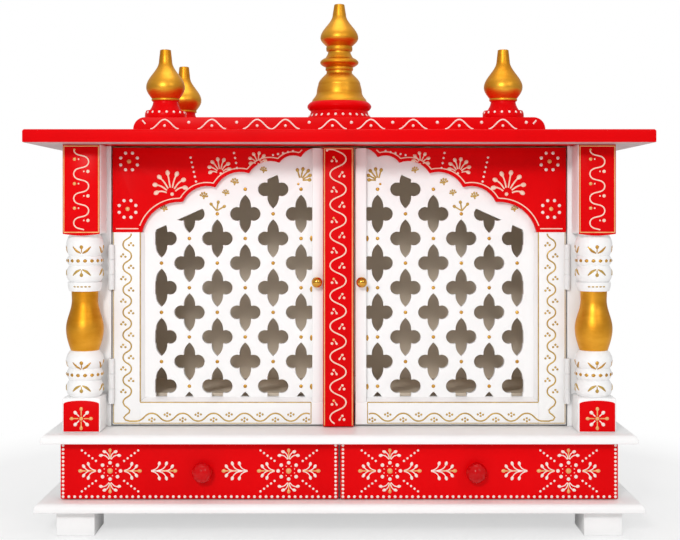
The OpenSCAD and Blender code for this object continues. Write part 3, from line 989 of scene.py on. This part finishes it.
    def turned_ornament(self, axis: Vector, outline: Sequence[Point]) -> None:
        """Paints gold sprigs on the beads and gold dots on the rings of the turning."""
        face = turned_face(axis, outline, self.ref_r)
        work = Brushwork(f"{self.node}_gilding", GOLD_BEAD, face)
        thin = Brushwork(f"{self.node}_gilding_fine", GOLD_LINE, face)
        for turn in (-90, 0, 90):
            u = math.radians(turn) * self.ref_r
            for root, lift, up in self.sprigs:
                brush = work if up > 0 else thin
                brush.petal((u, root + up), (u, root + up * (lift + 1.6)), 3.8, stem=0.3)
                for out in (-1, 1):
                    bend = (u + out * 5.6, root + up * lift * 0.36)
                    tip = (u + out * 9.8, root + up * lift)
                    path = between((u + out * 0.8, root), bend, 5)[:-1] + between(bend, tip, 5)
                    brush.line(path, 2.8, taper=True)
        for z in self.dotted_rings:
            for i in range(self.ring_dots):
                u = math.radians(-180 + 360 / self.ring_dots * (i + 0.5)) * self.ref_r
                work.line(between((u - 2.1, z), (u + 2.1, z), 8), 4.0, taper=True)
        for i in (-2, -1, 0, 1, 2):
            u = math.radians(i * 13) * self.ref_r
            thin.line(between((u - 1.7, self.collar_z), (u + 1.7, self.collar_z), 5), 1.7, taper=True)
        lay_all(self.trees, "root", work, thin)


# ---- Finials and plinth ----


@dataclass
class Finials:
    """The onion finials, their beaded discs and the painted plinth."""

    trees: Trees
    onion_steps: int = 20
    humps: tuple[float, ...] = (-191.5, -139.7, -90.0, -59.0, -7.5, 34.7, 81.0, 131.5, 179.3)
    high_dots: tuple[float, ...] = (-165.0, -112.5, -33.0, 13.3, 58.6, 107.5, 156.0, 205.0)
    corner_r: float = 22.5
    corner_base: tuple[Stretch, ...] = (
        Stretch(8.8, 21.5, swell=0.8), Stretch(0.3, 17.6), Stretch(9.9, 13.8, Turn.RISE), Stretch(0.5, 15),
    )
    corner_onion: tuple[Stretch, ...] = (
        Stretch(2.9, 15, swell=0.6), Stretch(0, 15.2), Stretch(12.6, 21.5, Turn.RISE),
        Stretch(29.7, 7.3, Turn.EASE), Stretch(11.8, 6), Stretch(0.5, 5),
    )
    centre_r: float = 38.0
    centre_base: tuple[Stretch, ...] = (
        Stretch(7.5, 37.1, swell=0.6), Stretch(7.4, 33.7, Turn.RISE), Stretch(11, 32.8, swell=4.6),
    )
    centre_onion: tuple[Stretch, ...] = (
        Stretch(2.6, 31.6), Stretch(9, 26.8, Turn.RISE), Stretch(8.4, 25, swell=0.3),
        Stretch(11.5, 17.4, Turn.FALL), Stretch(2.2, 15.2), Stretch(2.8, 15), Stretch(0.6, 16),
        Stretch(3.9, 16, swell=0.4), Stretch(10.8, 16.6, swell=6.4), Stretch(7.6, 13.3, Turn.RISE),
        Stretch(0.6, 15),
        Stretch(5.7, 15, swell=0.6), Stretch(10, 22.4, Turn.RISE), Stretch(27.8, 7.9, Turn.EASE), Stretch(11.5, 6),
        Stretch(0.5, 5),
    )

    def build(self) -> None:
        """Makes all finials and paints the plinth."""
        front_low, front_high = in_mm("front_finials")
        rear_low, rear_high = in_mm("rear_finial")
        reach = (rear_high.x - rear_low.x) / 2
        front_y = (front_low.y + front_high.y) / 2
        foot_z = front_low.z
        places = {
            "left_front_finial": (Vector((front_low.x + reach, front_y, foot_z)), "front_finials"),
            "right_front_finial": (Vector((front_high.x - reach, front_y, foot_z)), "front_finials"),
            "left_rear_finial": (
                Vector(((rear_low.x + rear_high.x) / 2, (rear_low.y + rear_high.y) / 2, foot_z)), "rear_finial"
            ),
        }
        for name, (foot, node) in places.items():
            self.finial(name, foot, node, self.corner_r, self.corner_base, self.corner_onion, (6.4, 17, 2.9))
        low, high = in_mm("centre_finial")
        foot = Vector(((low.x + high.x) / 2, (low.y + high.y) / 2, low.z))
        name = "centre_finial"
        self.finial(name, foot, name, self.centre_r, self.centre_base, self.centre_onion, (9.4, 26, 3.3))
        self.plinth()

    def finial(self, name: str, foot: Vector, node: str, start_r: float, base: Sequence[Stretch],
               onion: Sequence[Stretch], dots: tuple[float, int, float]) -> None:
        """Makes one finial: a red foot with white dots and a gilded onion.

        Args:
            name: The finial's name.
            foot: Place of its axis on the plinth.
            node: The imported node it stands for.
            start_r: Radius at the foot.
            base: The red stretches.
            onion: The gilded stretches.
            dots: Height, number and width of the dots.
        """
        rise = Vector((0, 0, sum(s.height for s in base)))
        red = turned_outline(start_r, base)
        settle(lathe(f"{name}_foot", red, foot), RED_ENAMEL, "root", [node])
        gold = turned_outline(base[-1].end_r, onion, self.onion_steps)
        settle(lathe(f"{name}_onion", gold, foot + rise), GOLD_PAINT, "root", [node])
        z, count, width = dots
        r = radius_at(red, z)
        beads = Brushwork(f"{name}_dots", WHITE_BEAD, turned_face(foot, red, r))
        for i in range(count):
            beads.bead(math.radians(360 * (i + 0.5) / count) * r, z, width)
        beads.lay(self.trees, "root")

    def plinth(self) -> None:
        """Paints the arcs and dots along the plinth's front."""
        low, high = in_mm("roof_plinth")
        crest, base, span = high.z - 2.6, low.z + 2.0, 15.5
        surface = flat_front(low.y)
        arcs = Brushwork("plinth_arcs", WHITE_BEAD, surface)
        dots = Brushwork("plinth_dots", WHITE_BEAD, surface)
        for x in self.humps:
            shares = [i / 12 for i in range(-12, 13)]
            arc = [(x + span * t, base + (crest - base) * (0.5 + 0.5 * math.cos(math.pi * t))) for t in shares]
            arcs.line(arc, 1.6)
            dots.bead(x, low.z + 5.6, 3.2)
        for x in self.high_dots:
            dots.bead(x, low.z + 9.2, 3.6)
        for out in (-1, 1):
            x = out * (high.x - 10)
            arcs.line(between((x, low.z + 11.5), (x - out * 3.5, low.z + 7.5), 5), 1.8)
        lay_all(self.trees, "root", arcs, dots)


# ---- Doors ----


@dataclass
class DoorLeaf:
    """One door leaf: a pierced white panel, gilded stile and rail, red spandrel, knob and hinges.

    Places on the leaf are (x, z) in millimetres, drawn for the right leaf.
    """

    side: Side
    trees: Trees
    rosettes: tuple[Point, ...] = ((238.3, 412.3), (240.0, 358.4))
    # Sprays: x and z of the root, length and number of petals
    sprays: tuple[tuple[float, float, float, int], ...] = (
        (190.7, 377.7, 25, 7), (135.2, 400.4, 17, 7), (92.1, 410.6, 13.5, 6),
    )
    # Dotted lines: both ends and the number of dots
    dotted: tuple[tuple[Point, Point, int], ...] = (
        ((168.5, 416.7), (162.4, 389.5), 6), ((119.3, 421.9), (115.9, 404.9), 4),
        ((75.1, 419.6), (52.5, 424.1), 5),
    )
    vine_x: float = 240.3
    vine_top_z: float = 318.0
    vine_step: float = 12.8
    vine_corner: tuple[Point, ...] = (
        (243.4, 135.6), (240.0, 133.0), (237.4, 130.4), (238.2, 127.4), (241.8, 124.8), (244.2, 122.0),
        (242.4, 119.2), (237.4, 117.9),
    )
    stile_dots: tuple[Point, ...] = ((-2.4, -1.0), (0.2, 1.7), (2.4, -0.6))
    rail_start: float = 229.9
    rail_end: float = 34.0
    rail_vine_z: float = 122.4
    rail_top_z: float = 139.2
    rail_dots_x: float = 212.4
    rail_step: float = 17.5
    rail_dots: tuple[Point, ...] = ((-3.0, 0.2), (0.0, 1.7), (3.0, 0.0), (0.2, -1.6))
    stile_line_x: float = 225.6
    fan_root: Point = (44.3, 391.0)
    fan_tips: tuple[Point, ...] = ((4.0, 13.9), (-3.4, 15.0), (-10.4, 12.6), (-13.0, 6.6), (-12.6, 0.6))
    # Blossoms: x, z and width
    blossoms: tuple[tuple[float, float, float], ...] = (
        (86.4, 402.6, 7), (119.3, 389.0, 8), (199.7, 358.4, 7), (154.4, 373.2, 8), (129.5, 376.6, 7),
    )
    trio_root: Point = (139.7, 356.2)
    leaf_x: float = 31.9
    leaf_heights: tuple[float, ...] = (324.7, 267.0, 211.5, 156.0)

    @property
    def body(self) -> str:
        """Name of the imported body."""
        return f"{self.side.value}_door"

    def node(self, part: str) -> str:
        """Name of one of the leaf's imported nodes."""
        return f"{self.side.value}_door_{part}"

    def brush(self, name: str, finish: Finish, face_y: float) -> Brushwork:
        """Makes brushwork for this leaf, drawn for the right side and mirrored for the left.

        Args:
            name: Last words of its name.
            finish: The paint.
            face_y: Place of the face that it is painted on.

        Returns:
            The empty brushwork.
        """
        return Brushwork(f"{self.body}_{name}", finish, flat_front(face_y), mirror=self.side.sign)

    def build(self) -> None:
        """Makes every board and all ornament of the leaf."""
        panel = f"{self.side.value}_lattice_panel"
        settle(eased_copy(panel, 0.9), WHITE_ENAMEL, self.body, [panel])
        for part in ("stile", "bottom_rail", "inner_stile"):
            settle(eased_copy(self.node(part), 0.7), WHITE_ENAMEL, self.body, [self.node(part)])
        spandrel = self.node("spandrel")
        settle(eased_copy(spandrel, 0.8), RED_ENAMEL, self.body, [spandrel])
        knob = self.node("knob")
        settle(eased_copy(knob, 0.15), BRASS, self.body, [knob])
        leaves = self.node("hinge_leaves")
        settle(eased_copy(leaves, 0.25), HINGE_STEEL, self.body, [leaves])
        frame_y, panel_y = in_mm(spandrel)[0].y, in_mm(panel)[0].y
        self.spandrel_ornament(frame_y)
        self.stile_ornament(frame_y)
        self.panel_ornament(panel_y)

    def spandrel_ornament(self, face_y: float) -> None:
        """Paints rosettes, sprays and dotted lines on the red spandrel."""
        white, gold = self.brush("white_dots", WHITE_BEAD, face_y), self.brush("gold_dots", AMBER_BEAD, face_y)
        spray = self.brush("sprays", CREAM_LINE, face_y)
        for x, z in self.rosettes:
            white.bead_ring(x, z, (10.2, 10.2), 8, 3.9, turn=22.5)
            gold.bead(x, z, 5.0)
        for x, z, size, count in self.sprays:
            self.scallop_spray(spray, (x, z), size, count)
        for a, b, count in self.dotted:
            for x, z in between(a, b, count):
                white.bead(x, z, 2.7)
        self.arch_lines(face_y)
        lay_all(self.trees, self.body, white, gold, spray)

    def scallop_spray(self, work: Brushwork, root: Point, size: float, count: int) -> None:
        """Draws petals fanned upwards from a root, the middle ones the longest.

        Args:
            work: The brushwork it joins.
            root: Where the petals meet.
            size: Length of the longest petal.
            count: Number of petals.
        """
        for i in range(count):
            share = i / (count - 1) * 2 - 1
            angle = math.radians(80 - share * 88)
            length = size * (1 - 0.22 * share * share)
            foot = (root[0] + 0.2 * size * math.cos(angle), root[1] + 0.2 * size * math.sin(angle))
            tip = (root[0] + length * math.cos(angle), root[1] + length * math.sin(angle))
            work.petal(foot, tip, 2.2 + 0.12 * size, stem=0.34, bend=0.16 * share)
        work.bead(root[0] - 0.05 * size, root[1] - 0.1 * size, 0.17 * size)

    def arch_lines(self, face_y: float) -> None:
        """Draws the line that follows the scalloped edge."""
        edge = self.brush("arch_line", CREAM_LINE, face_y)
        for run in ARCH.inset_runs(4.0):
            edge.line(run, 1.3)
        edge.lay(self.trees, self.body)

    def stile_ornament(self, face_y: float) -> None:
        """Paints the vine, dots and border lines on the stile and the bottom rail."""
        low, high = in_mm(self.node("stile"))
        outer = max(abs(low.x), abs(high.x))
        foot = in_mm(self.node("bottom_rail"))[0].z
        top = ARCH.foot_z
        vine, line = self.brush("vine", GOLD_LINE, face_y), self.brush("frame_line", GOLD_LINE, face_y)
        step, rail_z, inner = self.vine_step, self.rail_vine_z, self.rail_end
        bends = int((self.vine_top_z - 138.0) / step)
        start, end = (self.vine_x, top - 1.5), (self.vine_x, self.vine_top_z - step * bends)
        phase = 90 - 360 * (start[1] - self.vine_top_z) / 2 / step
        down = wave(start, end, 4.7, 2 * step, phase=phase, round_share=0.16)
        rail = wave((self.rail_start, rail_z), (inner, rail_z), 4.4, 2 * self.rail_step, phase=90, round_share=0.1)
        vine.line(down + list(self.vine_corner) + rail, 1.7)
        for i in range(bends):
            x, z = self.vine_x + (-4.4 if i % 2 == 0 else 4.4), self.vine_top_z - step * i
            for dx, dz in self.stile_dots:
                vine.bead(x + dx, z + dz, 2.7)
        for i in range(int((self.rail_dots_x - inner) / self.rail_step) + 1):
            x, z = self.rail_dots_x - self.rail_step * i, rail_z + (-2.9 if i % 2 == 0 else 2.9)
            for dx, dz in self.rail_dots:
                vine.bead(x + dx, z + dz, 2.6)
        border, outer, end, bottom = self.stile_line_x, outer - 1.2, inner - 2, foot + 1.6
        for a, b, count, width in (
            ((border, top), (border, 140.0), 40, 1.3),
            ((border, self.rail_top_z), (end, self.rail_top_z), 60, 1.2),
            ((outer, top), (outer, bottom), 40, 0.9),
            ((outer, bottom), (end, bottom), 60, 1.0),
            ((end, bottom), (end, self.rail_top_z), 6, 1.0),
        ):
            line.line(between(a, b, count), width)
        lay_all(self.trees, self.body, vine, line)

    def panel_ornament(self, face_y: float) -> None:
        """Paints fans, blossoms and the gold beads of the lattice on the white panel."""
        gold, fine = self.brush("panel_gold", GOLD_BEAD, face_y), self.brush("panel_fine", GOLD_LINE, face_y)
        x, z = self.fan_root
        for dx, dz in self.fan_tips:
            fine.petal((x + dx * 0.2, z + dz * 0.2), (x + dx, z + dz), 4.0, stem=0.45)
        gold.bead(x + 2.3, z - 4.3, 3.0)
        gold.bead(29.0, 377.5, 3.0)
        for x, z, size in self.blossoms:
            self.blossom(fine, (x, z), size)
        x, z = self.trio_root
        for angle in (150, 100, 50):
            a = math.radians(angle)
            fine.petal((x, z), (x + 12 * math.cos(a), z + 12 * math.sin(a)), 3.6, stem=0.45)
        for x, z in LATTICE.crossings():
            gold.bead(x, z, 4.3)
        for z in self.leaf_heights:
            gold.line(between((self.leaf_x, z - 3.2), (self.leaf_x, z + 3.2), 9), 3.4, taper=True)
        lay_all(self.trees, self.body, gold, fine)

    def blossom(self, work: Brushwork, middle: Point, size: float) -> None:
        """Draws a small flower of five strokes.

        Args:
            work: The brushwork it joins.
            middle: Its middle.
            size: Its width.
        """
        for i in range(5):
            a = math.radians(20 + 40 * i)
            tip = (middle[0] + size * 0.62 * math.cos(a), middle[1] + size * 0.62 * math.sin(a))
            work.petal((middle[0], middle[1] - size * 0.2), tip, size * 0.3, stem=0.5)
        work.bead(middle[0], middle[1] - size * 0.35, size * 0.26)


@dataclass
class Strip:
    """The red meeting strip on the left leaf, with its vine."""

    trees: Trees
    body: str = "left_door"
    node: str = "centre_strip"
    half_period: float = 17.15
    swing: float = 9.0
    edge_inset: float = 1.5

    def build(self) -> None:
        """Makes the strip and paints it."""
        settle(eased_copy(self.node, 1.2), RED_ENAMEL, self.body, [self.node])
        low, high = in_mm(self.node)
        mid, surface = (low.x + high.x) / 2 - 0.4, flat_front(low.y)
        vine = Brushwork("centre_strip_vine", CREAM_LINE, surface)
        gold = Brushwork("centre_strip_gold", AMBER_BEAD, surface)
        half, first, bottom = self.half_period, high.z - 13.3, low.z + 4.0
        path = wave((mid, first + half * 0.6), (mid, bottom), self.swing, 2 * half, phase=-18, round_share=0.14)
        vine.line([(mid - 12.4, high.z - 2.6), (mid - 9.0, high.z - 2.4), (mid - 5.6, high.z - 2.6)] + path, 1.6)
        for i in range(int((first - bottom) / half) + 1):
            z, out = first - half * i, 1 if i % 2 == 0 else -1
            (gold if i % 4 == 0 else vine).bead(mid - out * 4.9, z + 2.0, 3.0)
            vine.bead(mid - out * 6.8, z - 2.2, 3.2)
            vine.petal((mid - out * 3.4, z + 0.6), (mid - out * 0.9, z - 3.6), 2.5, stem=0.45)
        vine.bead(mid - 12.4, high.z - 3.4, 3.0)
        left, right = low.x + self.edge_inset, high.x - self.edge_inset
        for x in (left, right):
            gold.line(between((x, low.z + self.edge_inset), (x, high.z - self.edge_inset), 80), 1.2)
        gold.line(between((left, high.z - 1.6), (right, high.z - 1.6), 8), 1.2)
        lay_all(self.trees, self.body, vine, gold)


@dataclass(frozen=True)
class Arch:
    """The scalloped arch of the doors, drawn for the right leaf."""

    outer: float = 224.0
    inner: float = 18.2
    far_x: float = 257.0
    top_z: float = 428.0
    rise: float = 96.0
    sagitta: float = 0.19
    cusps: tuple[Point, ...] = (
        (0, 1), (0.224, 0.643), (0.405, 0.469), (0.59, 0.304), (0.757, 0.179), (0.876, 0.113), (1, 0.016),
    )

    @property
    def foot_z(self) -> float:
        """Height of the arch's foot."""
        return self.top_z - self.rise

    def place(self, cusp: Point) -> Point:
        """Place of a cusp in X and Z."""
        return self.outer - (self.outer - self.inner) * cusp[0], self.top_z - self.rise * cusp[1]

    def circle(self, a: Point, b: Point) -> tuple[Point, float, float]:
        """Circle of one scallop.

        Args:
            a: One cusp.
            b: The next cusp, further in and higher.

        Returns:
            Its middle, its radius and half the angle that the scallop takes.
        """
        dx, dz = b[0] - a[0], b[1] - a[1]
        chord = math.hypot(dx, dz)
        nx, nz = dz / chord, -dx / chord
        sag = self.sagitta * chord
        radius = (chord * chord / 4 + sag * sag) / (2 * sag)
        middle = ((a[0] + b[0]) / 2 + nx * (sag - radius), (a[1] + b[1]) / 2 + nz * (sag - radius))
        return middle, radius, math.asin(chord / 2 / radius)

    def inset_runs(self, inset: float) -> list[list[Point]]:
        """Runs of points that follow the arch's edge inside the red.

        Args:
            inset: Distance from the edge.

        Returns:
            One joined run for the scallops and one for the spandrel's foot.
        """
        places = [self.place(c) for c in self.cusps]
        circles = [self.circle(a, b) for a, b in zip(places, places[1:])]
        scallops = []
        for i, (middle, radius, half) in enumerate(circles):
            a, b = places[i], places[i + 1]
            facing = math.atan2((a[1] + b[1]) / 2 - middle[1], (a[0] + b[0]) / 2 - middle[0])
            for step in range(-18, 19):
                angle = facing - half * 1.2 * step / 18
                reach = radius + inset
                p = (middle[0] + reach * math.cos(angle), middle[1] + reach * math.sin(angle))
                others = circles[:i] + circles[i + 1:]
                if all(math.dist(p, c) >= r + inset - 0.02 for c, r, _ in others):
                    scallops.append(p)
        scallops.sort(key=lambda p: -p[0])
        scallops = [p for p in scallops if p[1] < self.top_z - 1.8 and self.inner + 1.5 < p[0] < self.outer + 2.5]
        foot_z = self.foot_z + inset
        foot = between((self.outer + 3.6, foot_z), (self.far_x - inset, foot_z), 8)
        return [scallops, foot]


@dataclass(frozen=True)
class Lattice:
    """Where the pierced panel's slats cross, drawn for the right leaf."""

    start_x: float = 43.6
    pitch_x: float = 31.8
    start_z: float = 156.4
    pitch_z: float = 56.1
    rows: int = 5
    clip: Point = (30.6, 210.0)

    def below_arch(self, x: float, z: float) -> bool:
        """Whether a place lies under the line where the piercing stops."""
        share = (ARCH.outer - x) / (ARCH.outer - ARCH.inner)
        return z < ARCH.top_z - ARCH.rise * (1.04 - 0.968 * share) + 6

    def crossings(self) -> list[Point]:
        """Places of the crossings between holes that stand one above the other."""
        places = []
        for i in range(int((self.clip[1] - self.start_x) / self.pitch_x) + 1):
            x = self.start_x + i * self.pitch_x
            shift = 0.0 if i % 2 == 0 else self.pitch_z / 2
            for row in range(self.rows + 1):
                z = self.start_z + shift + self.pitch_z * row
                if self.below_arch(x, z):
                    places.append((x, z))
        return places


ARCH = Arch()
LATTICE = Lattice()


# ---- Drawers ----


@dataclass
class Drawer:
    """One drawer: a red ornamented front with a turned knob, on a plain wooden box."""

    side: Side
    trees: Trees
    knob_foot_r: float = 7.06
    knob_neck: tuple[Stretch, ...] = (Stretch(5, 5.06, Turn.RISE), Stretch(5, 11.25, Turn.RISE))
    knob_cap_h: float = 10.0
    knob_cap_steps: int = 18
    middle_z: float = 70.0
    rosette_out: float = 98.3
    spray_out: float = 53.0
    # Leaves of a spray: start along the stem, then the tip along and across it
    leaves: tuple[tuple[float, float, float], ...] = ((0.0, 9.4, 10.4), (6.3, 17.4, 10.4), (12.1, 24.4, 7.0))

    @property
    def body(self) -> str:
        """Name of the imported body."""
        return f"{self.side.value}_drawer"

    def build(self) -> None:
        """Makes the box, the front, the knob and the ornament."""
        for part in ("sides", "back", "bottom"):
            node = f"{self.body}_{part}"
            settle(eased_copy(node, 0.5), DRAWER_WOOD, self.body, [node])
        front, knob = f"{self.body}_front", f"{self.body}_knob"
        settle(eased_copy(front, 1.3), RED_ENAMEL, self.body, [front])
        knob_low, knob_high = in_mm(knob)
        seat = Vector(((knob_low.x + knob_high.x) / 2, knob_high.y, (knob_low.z + knob_high.z) / 2))
        turned = lathe(f"{knob}_turned", self.knob_outline(), Vector((0, 0, 0)))
        turned.data.transform(Matrix.Translation(seat * MM) @ Matrix.Rotation(math.radians(90), 4, "X"))
        settle(turned, RED_GLOSS, self.body, [knob])
        low, high = in_mm(front)
        self.ornament(low, high)

    def knob_outline(self) -> list[Point]:
        """Works out the knob's outline: a flared neck under a round cap.

        Returns:
            Points as (radius, height), from the foot up.
        """
        outline = turned_outline(self.knob_foot_r, self.knob_neck, self.knob_cap_steps)
        cap_r, foot_z = outline[-1]
        for i in range(1, self.knob_cap_steps):
            a = math.pi / 2 * i / self.knob_cap_steps
            outline.append((cap_r * math.cos(a), foot_z + self.knob_cap_h * math.sin(a)))
        return outline

    def ornament(self, low: Vector, high: Vector) -> None:
        """Paints the border of dots, the rosettes and the sprays on the front."""
        surface = flat_front(low.y)
        white = Brushwork(f"{self.body}_white", WHITE_BEAD, surface)
        gold = Brushwork(f"{self.body}_gold", AMBER_BEAD, surface)
        mid_x, mid_z = (low.x + high.x) / 2, self.middle_z
        for x, z in between((low.x + 3, low.z + 2.6), (high.x - 3, low.z + 2.6), 48):
            white.bead(x, z, 3.3)
        for x in (low.x + 3, high.x - 3):
            for px, pz in between((x, low.z + 6.6), (x, high.z - 3), 13):
                white.bead(px, pz, 3.1)
        for out in (-1, 1):
            self.rosette(white, gold, (mid_x + out * self.rosette_out, mid_z))
            self.herringbone(white, gold, (mid_x + out * self.spray_out, mid_z), -out)
        lay_all(self.trees, self.body, white, gold)

    def rosette(self, white: Brushwork, gold: Brushwork, centre: Point) -> None:
        """Draws one rosette, its four sprays and its dotted diagonals.

        Args:
            white: Brushwork for the white paint.
            gold: Brushwork for the gold paint.
            centre: Its middle.
        """
        x, z = centre
        gold.bead(x, z, 6.3)
        white.bead_ring(x, z, (11.6, 9.0), 8, 4.2)
        white.bead_ring(x, z, (7.0, 5.6), 8, 1.1, turn=22.5)
        for up in (-1, 1):
            gold.petal((x, z + up * 13.2), (x, z + up * 24.8), 3.8)
            for out in (-1, 1):
                curl = 0.2 * out * up
                white.petal((x + out * 0.6, z + up * 13.0), (x + out * 8.2, z + up * 21.8), 3.4, bend=curl)
                white.petal((x + out * 1.2, z + up * 12.8), (x + out * 12.2, z + up * 16.6), 3.4, bend=curl)
        for out in (-1, 1):
            gold.petal((x + out * 15.3, z), (x + out * 35.0, z), 4.2)
            for up in (-1, 1):
                curl = -0.2 * out * up
                white.petal((x + out * 17.0, z + up * 0.2), (x + out * 30.2, z + up * 7.0), 3.4, bend=curl)
                white.petal((x + out * 15.4, z + up * 0.4), (x + out * 24.4, z + up * 9.8), 3.4, bend=curl)
                for px, pz in between((x + out * 31.0, z + up * 22.5), (x + out * 15.5, z + up * 11.0), 5):
                    white.bead(px, pz, 2.6)

    def herringbone(self, white: Brushwork, gold: Brushwork, root: Point, way: int) -> None:
        """Draws a leafy spray that points towards the drawer's middle.

        Args:
            white: Brushwork for the white paint.
            gold: Brushwork for the gold paint.
            root: Where it starts.
            way: Sign of X of its direction.
        """
        x, z = root
        gold.petal((x + way * 12.0, z), (x + way * 28.6, z), 4.2)
        white.line(between((x + way * 2, z), (x + way * 14, z), 6), 1.2)
        for start, dx, dz in self.leaves:
            for up in (-1, 1):
                foot, tip = (x + way * start, z + up * 0.3), (x + way * dx, z + up * dz)
                white.petal(foot, tip, 3.5, bend=-0.2 * way * up)


# ---- Hinges ----


@dataclass
class JambHinges:
    """The hinge leaves and pins that stay on the jambs."""

    node: str = "jamb_hinge_leaves"

    def build(self) -> None:
        """Dresses the leaves and pins."""
        settle(eased_copy(self.node, 0.25), HINGE_STEEL, "root", [self.node])


# ---- Studio ----


@dataclass
class Studio:
    """Pale floor, white background, soft lights and the camera."""

    camera_place: tuple[float, float, float] = (0.0008, -1.529, 0.357)
    camera_lens: float = 68.4
    camera_shift_y: float = -0.088
    floor_size: float = 6.0
    floor_colour: Colour = (0.93, 0.93, 0.93)
    floor_fade: Point = (0.32, 0.75)
    floor_glow: float = 0.55
    sky_level: float = 0.58
    room_low: float = 0.34
    room_high: float = 0.75
    aim: tuple[float, float, float] = (0.0, 0.0, 0.3)
    # Lamps: name, place, width in metres and power in watts
    lamps: tuple[tuple[str, tuple[float, float, float], float, float], ...] = (
        ("key_light", (-0.5, -2.2, 1.15), 0.36, 20.0),
        ("fill_light", (1.1, -1.6, 1.3), 0.6, 4.0),
        ("top_light", (0.0, -0.1, 1.9), 1.2, 7.0),
    )

    def build(self) -> None:
        """Makes the whole studio."""
        self.floor()
        self.world()
        for lamp in self.lamps:
            self.light(*lamp)
        self.camera()

    def floor(self) -> None:
        """Makes the plain pale floor."""
        half = self.floor_size / 2
        mesh = bpy.data.meshes.new("studio_floor")
        corners = [(-half, -half, 0), (half, -half, 0), (half, half, 0), (-half, half, 0)]
        mesh.from_pydata(corners, [], [(0, 1, 2, 3)])
        ground = new_object("studio_floor", mesh)
        paint = bpy.data.materials.new("studio_floor")
        paint.use_nodes = True
        paint.node_tree.nodes.clear()
        sheet = NodeSheet(paint.node_tree)
        place = sheet.add("ShaderNodeTexCoord").outputs["Object"]
        reach = sheet.add("ShaderNodeVectorMath", {0: place}, operation="LENGTH")
        away = sheet.add(
            "ShaderNodeMapRange",
            {"Value": reach.outputs["Value"], "From Min": self.floor_fade[0], "From Max": self.floor_fade[1]},
            interpolation_type="SMOOTHSTEP",
        )
        ray = sheet.add("ShaderNodeLightPath").outputs
        bright = sheet.maths("MAXIMUM", away.outputs["Result"], self.floor_glow)
        shown = sheet.maths("MULTIPLY", bright, ray["Is Camera Ray"])
        matt = sheet.add(
            "ShaderNodeBsdfPrincipled",
            {"Base Color": (*self.floor_colour, 1.0), "Roughness": 0.6, "Specular IOR Level": 0.1},
        )
        pale = sheet.add("ShaderNodeEmission", {"Color": (1.0, 1.0, 1.0, 1.0), "Strength": 1.0})
        mixed = sheet.add("ShaderNodeMixShader", {0: shown, 1: matt.outputs[0], 2: pale.outputs[0]})
        sheet.add("ShaderNodeOutputMaterial", {"Surface": mixed.outputs[0]})
        mesh.materials.append(paint)

    def world(self) -> None:
        """Lights the scene softly and shows a white background to the camera."""
        world = bpy.data.worlds.new("studio_world")
        bpy.context.scene.world = world
        world.use_nodes = True
        world.cycles.sampling_method = "NONE"
        world.node_tree.nodes.clear()
        sheet = NodeSheet(world.node_tree)
        way = sheet.add("ShaderNodeTexCoord").outputs["Generated"]
        part = sheet.add("ShaderNodeSeparateXYZ", {"Vector": way}).outputs
        card = sheet.add("ShaderNodeMapRange", {"Value": part["Y"], "From Min": 0.8, "From Max": 0.97})
        above = sheet.add(
            "ShaderNodeMapRange",
            {"Value": part["Z"], "From Min": -0.1, "From Max": 0.9, "To Min": self.room_low,
             "To Max": self.room_high},
        )
        room = sheet.maths("MAXIMUM", card.outputs["Result"], above.outputs["Result"])
        ray = sheet.add("ShaderNodeLightPath").outputs
        shiny = sheet.maths("MULTIPLY", ray["Is Glossy Ray"], room)
        dull = sheet.maths("MULTIPLY", ray["Is Diffuse Ray"], self.sky_level)
        clear = sheet.maths("MAXIMUM", ray["Is Camera Ray"], ray["Is Transmission Ray"])
        level = sheet.maths("MAXIMUM", sheet.maths("MAXIMUM", shiny, dull), clear)
        seen = sheet.add("ShaderNodeBackground", {"Color": (1.0, 1.0, 1.0, 1.0), "Strength": level})
        sheet.add("ShaderNodeOutputWorld", {"Surface": seen.outputs[0]})

    def light(self, name: str, place: tuple[float, float, float], size: float, power: float) -> None:
        """Adds one soft area light that faces the cabinet.

        Args:
            name: Its name.
            place: Where it stands, in metres.
            size: Its width.
            power: Its power, in watts.
        """
        lamp = bpy.data.lights.new(name, "AREA")
        lamp.shape, lamp.size, lamp.energy = "DISK", size, power
        holder = bpy.data.objects.new(name, lamp)
        holder.location = place
        way = Vector(self.aim) - Vector(place)
        holder.rotation_euler = way.to_track_quat("-Z", "Y").to_euler()
        bpy.context.scene.collection.objects.link(holder)

    def camera(self) -> None:
        """Sets the camera at the height of the door knobs, level, in front of the cabinet."""
        lens = bpy.data.cameras.new("main_camera")
        lens.lens, lens.sensor_width, lens.shift_y = self.camera_lens, 36.0, self.camera_shift_y
        holder = bpy.data.objects.new("main_camera", lens)
        holder.location = self.camera_place
        holder.rotation_euler = (math.radians(90), 0, 0)
        bpy.context.scene.collection.objects.link(holder)
        bpy.context.scene.camera = holder


def main() -> None:
    """Builds the whole scene."""
    logging.basicConfig(level=logging.INFO, format="%(name)s: %(message)s")
    bpy.context.scene.view_settings.view_transform = "Standard"
    trees = Trees()
    Carcass().build()
    JambHinges().build()
    for side in Side:
        Column(side, trees).build()
        DoorLeaf(side, trees).build()
        Drawer(side, trees).build()
    Strip(trees).build()
    Finials(trees).build()
    Studio().build()


if __name__ == "__main__":
    main()
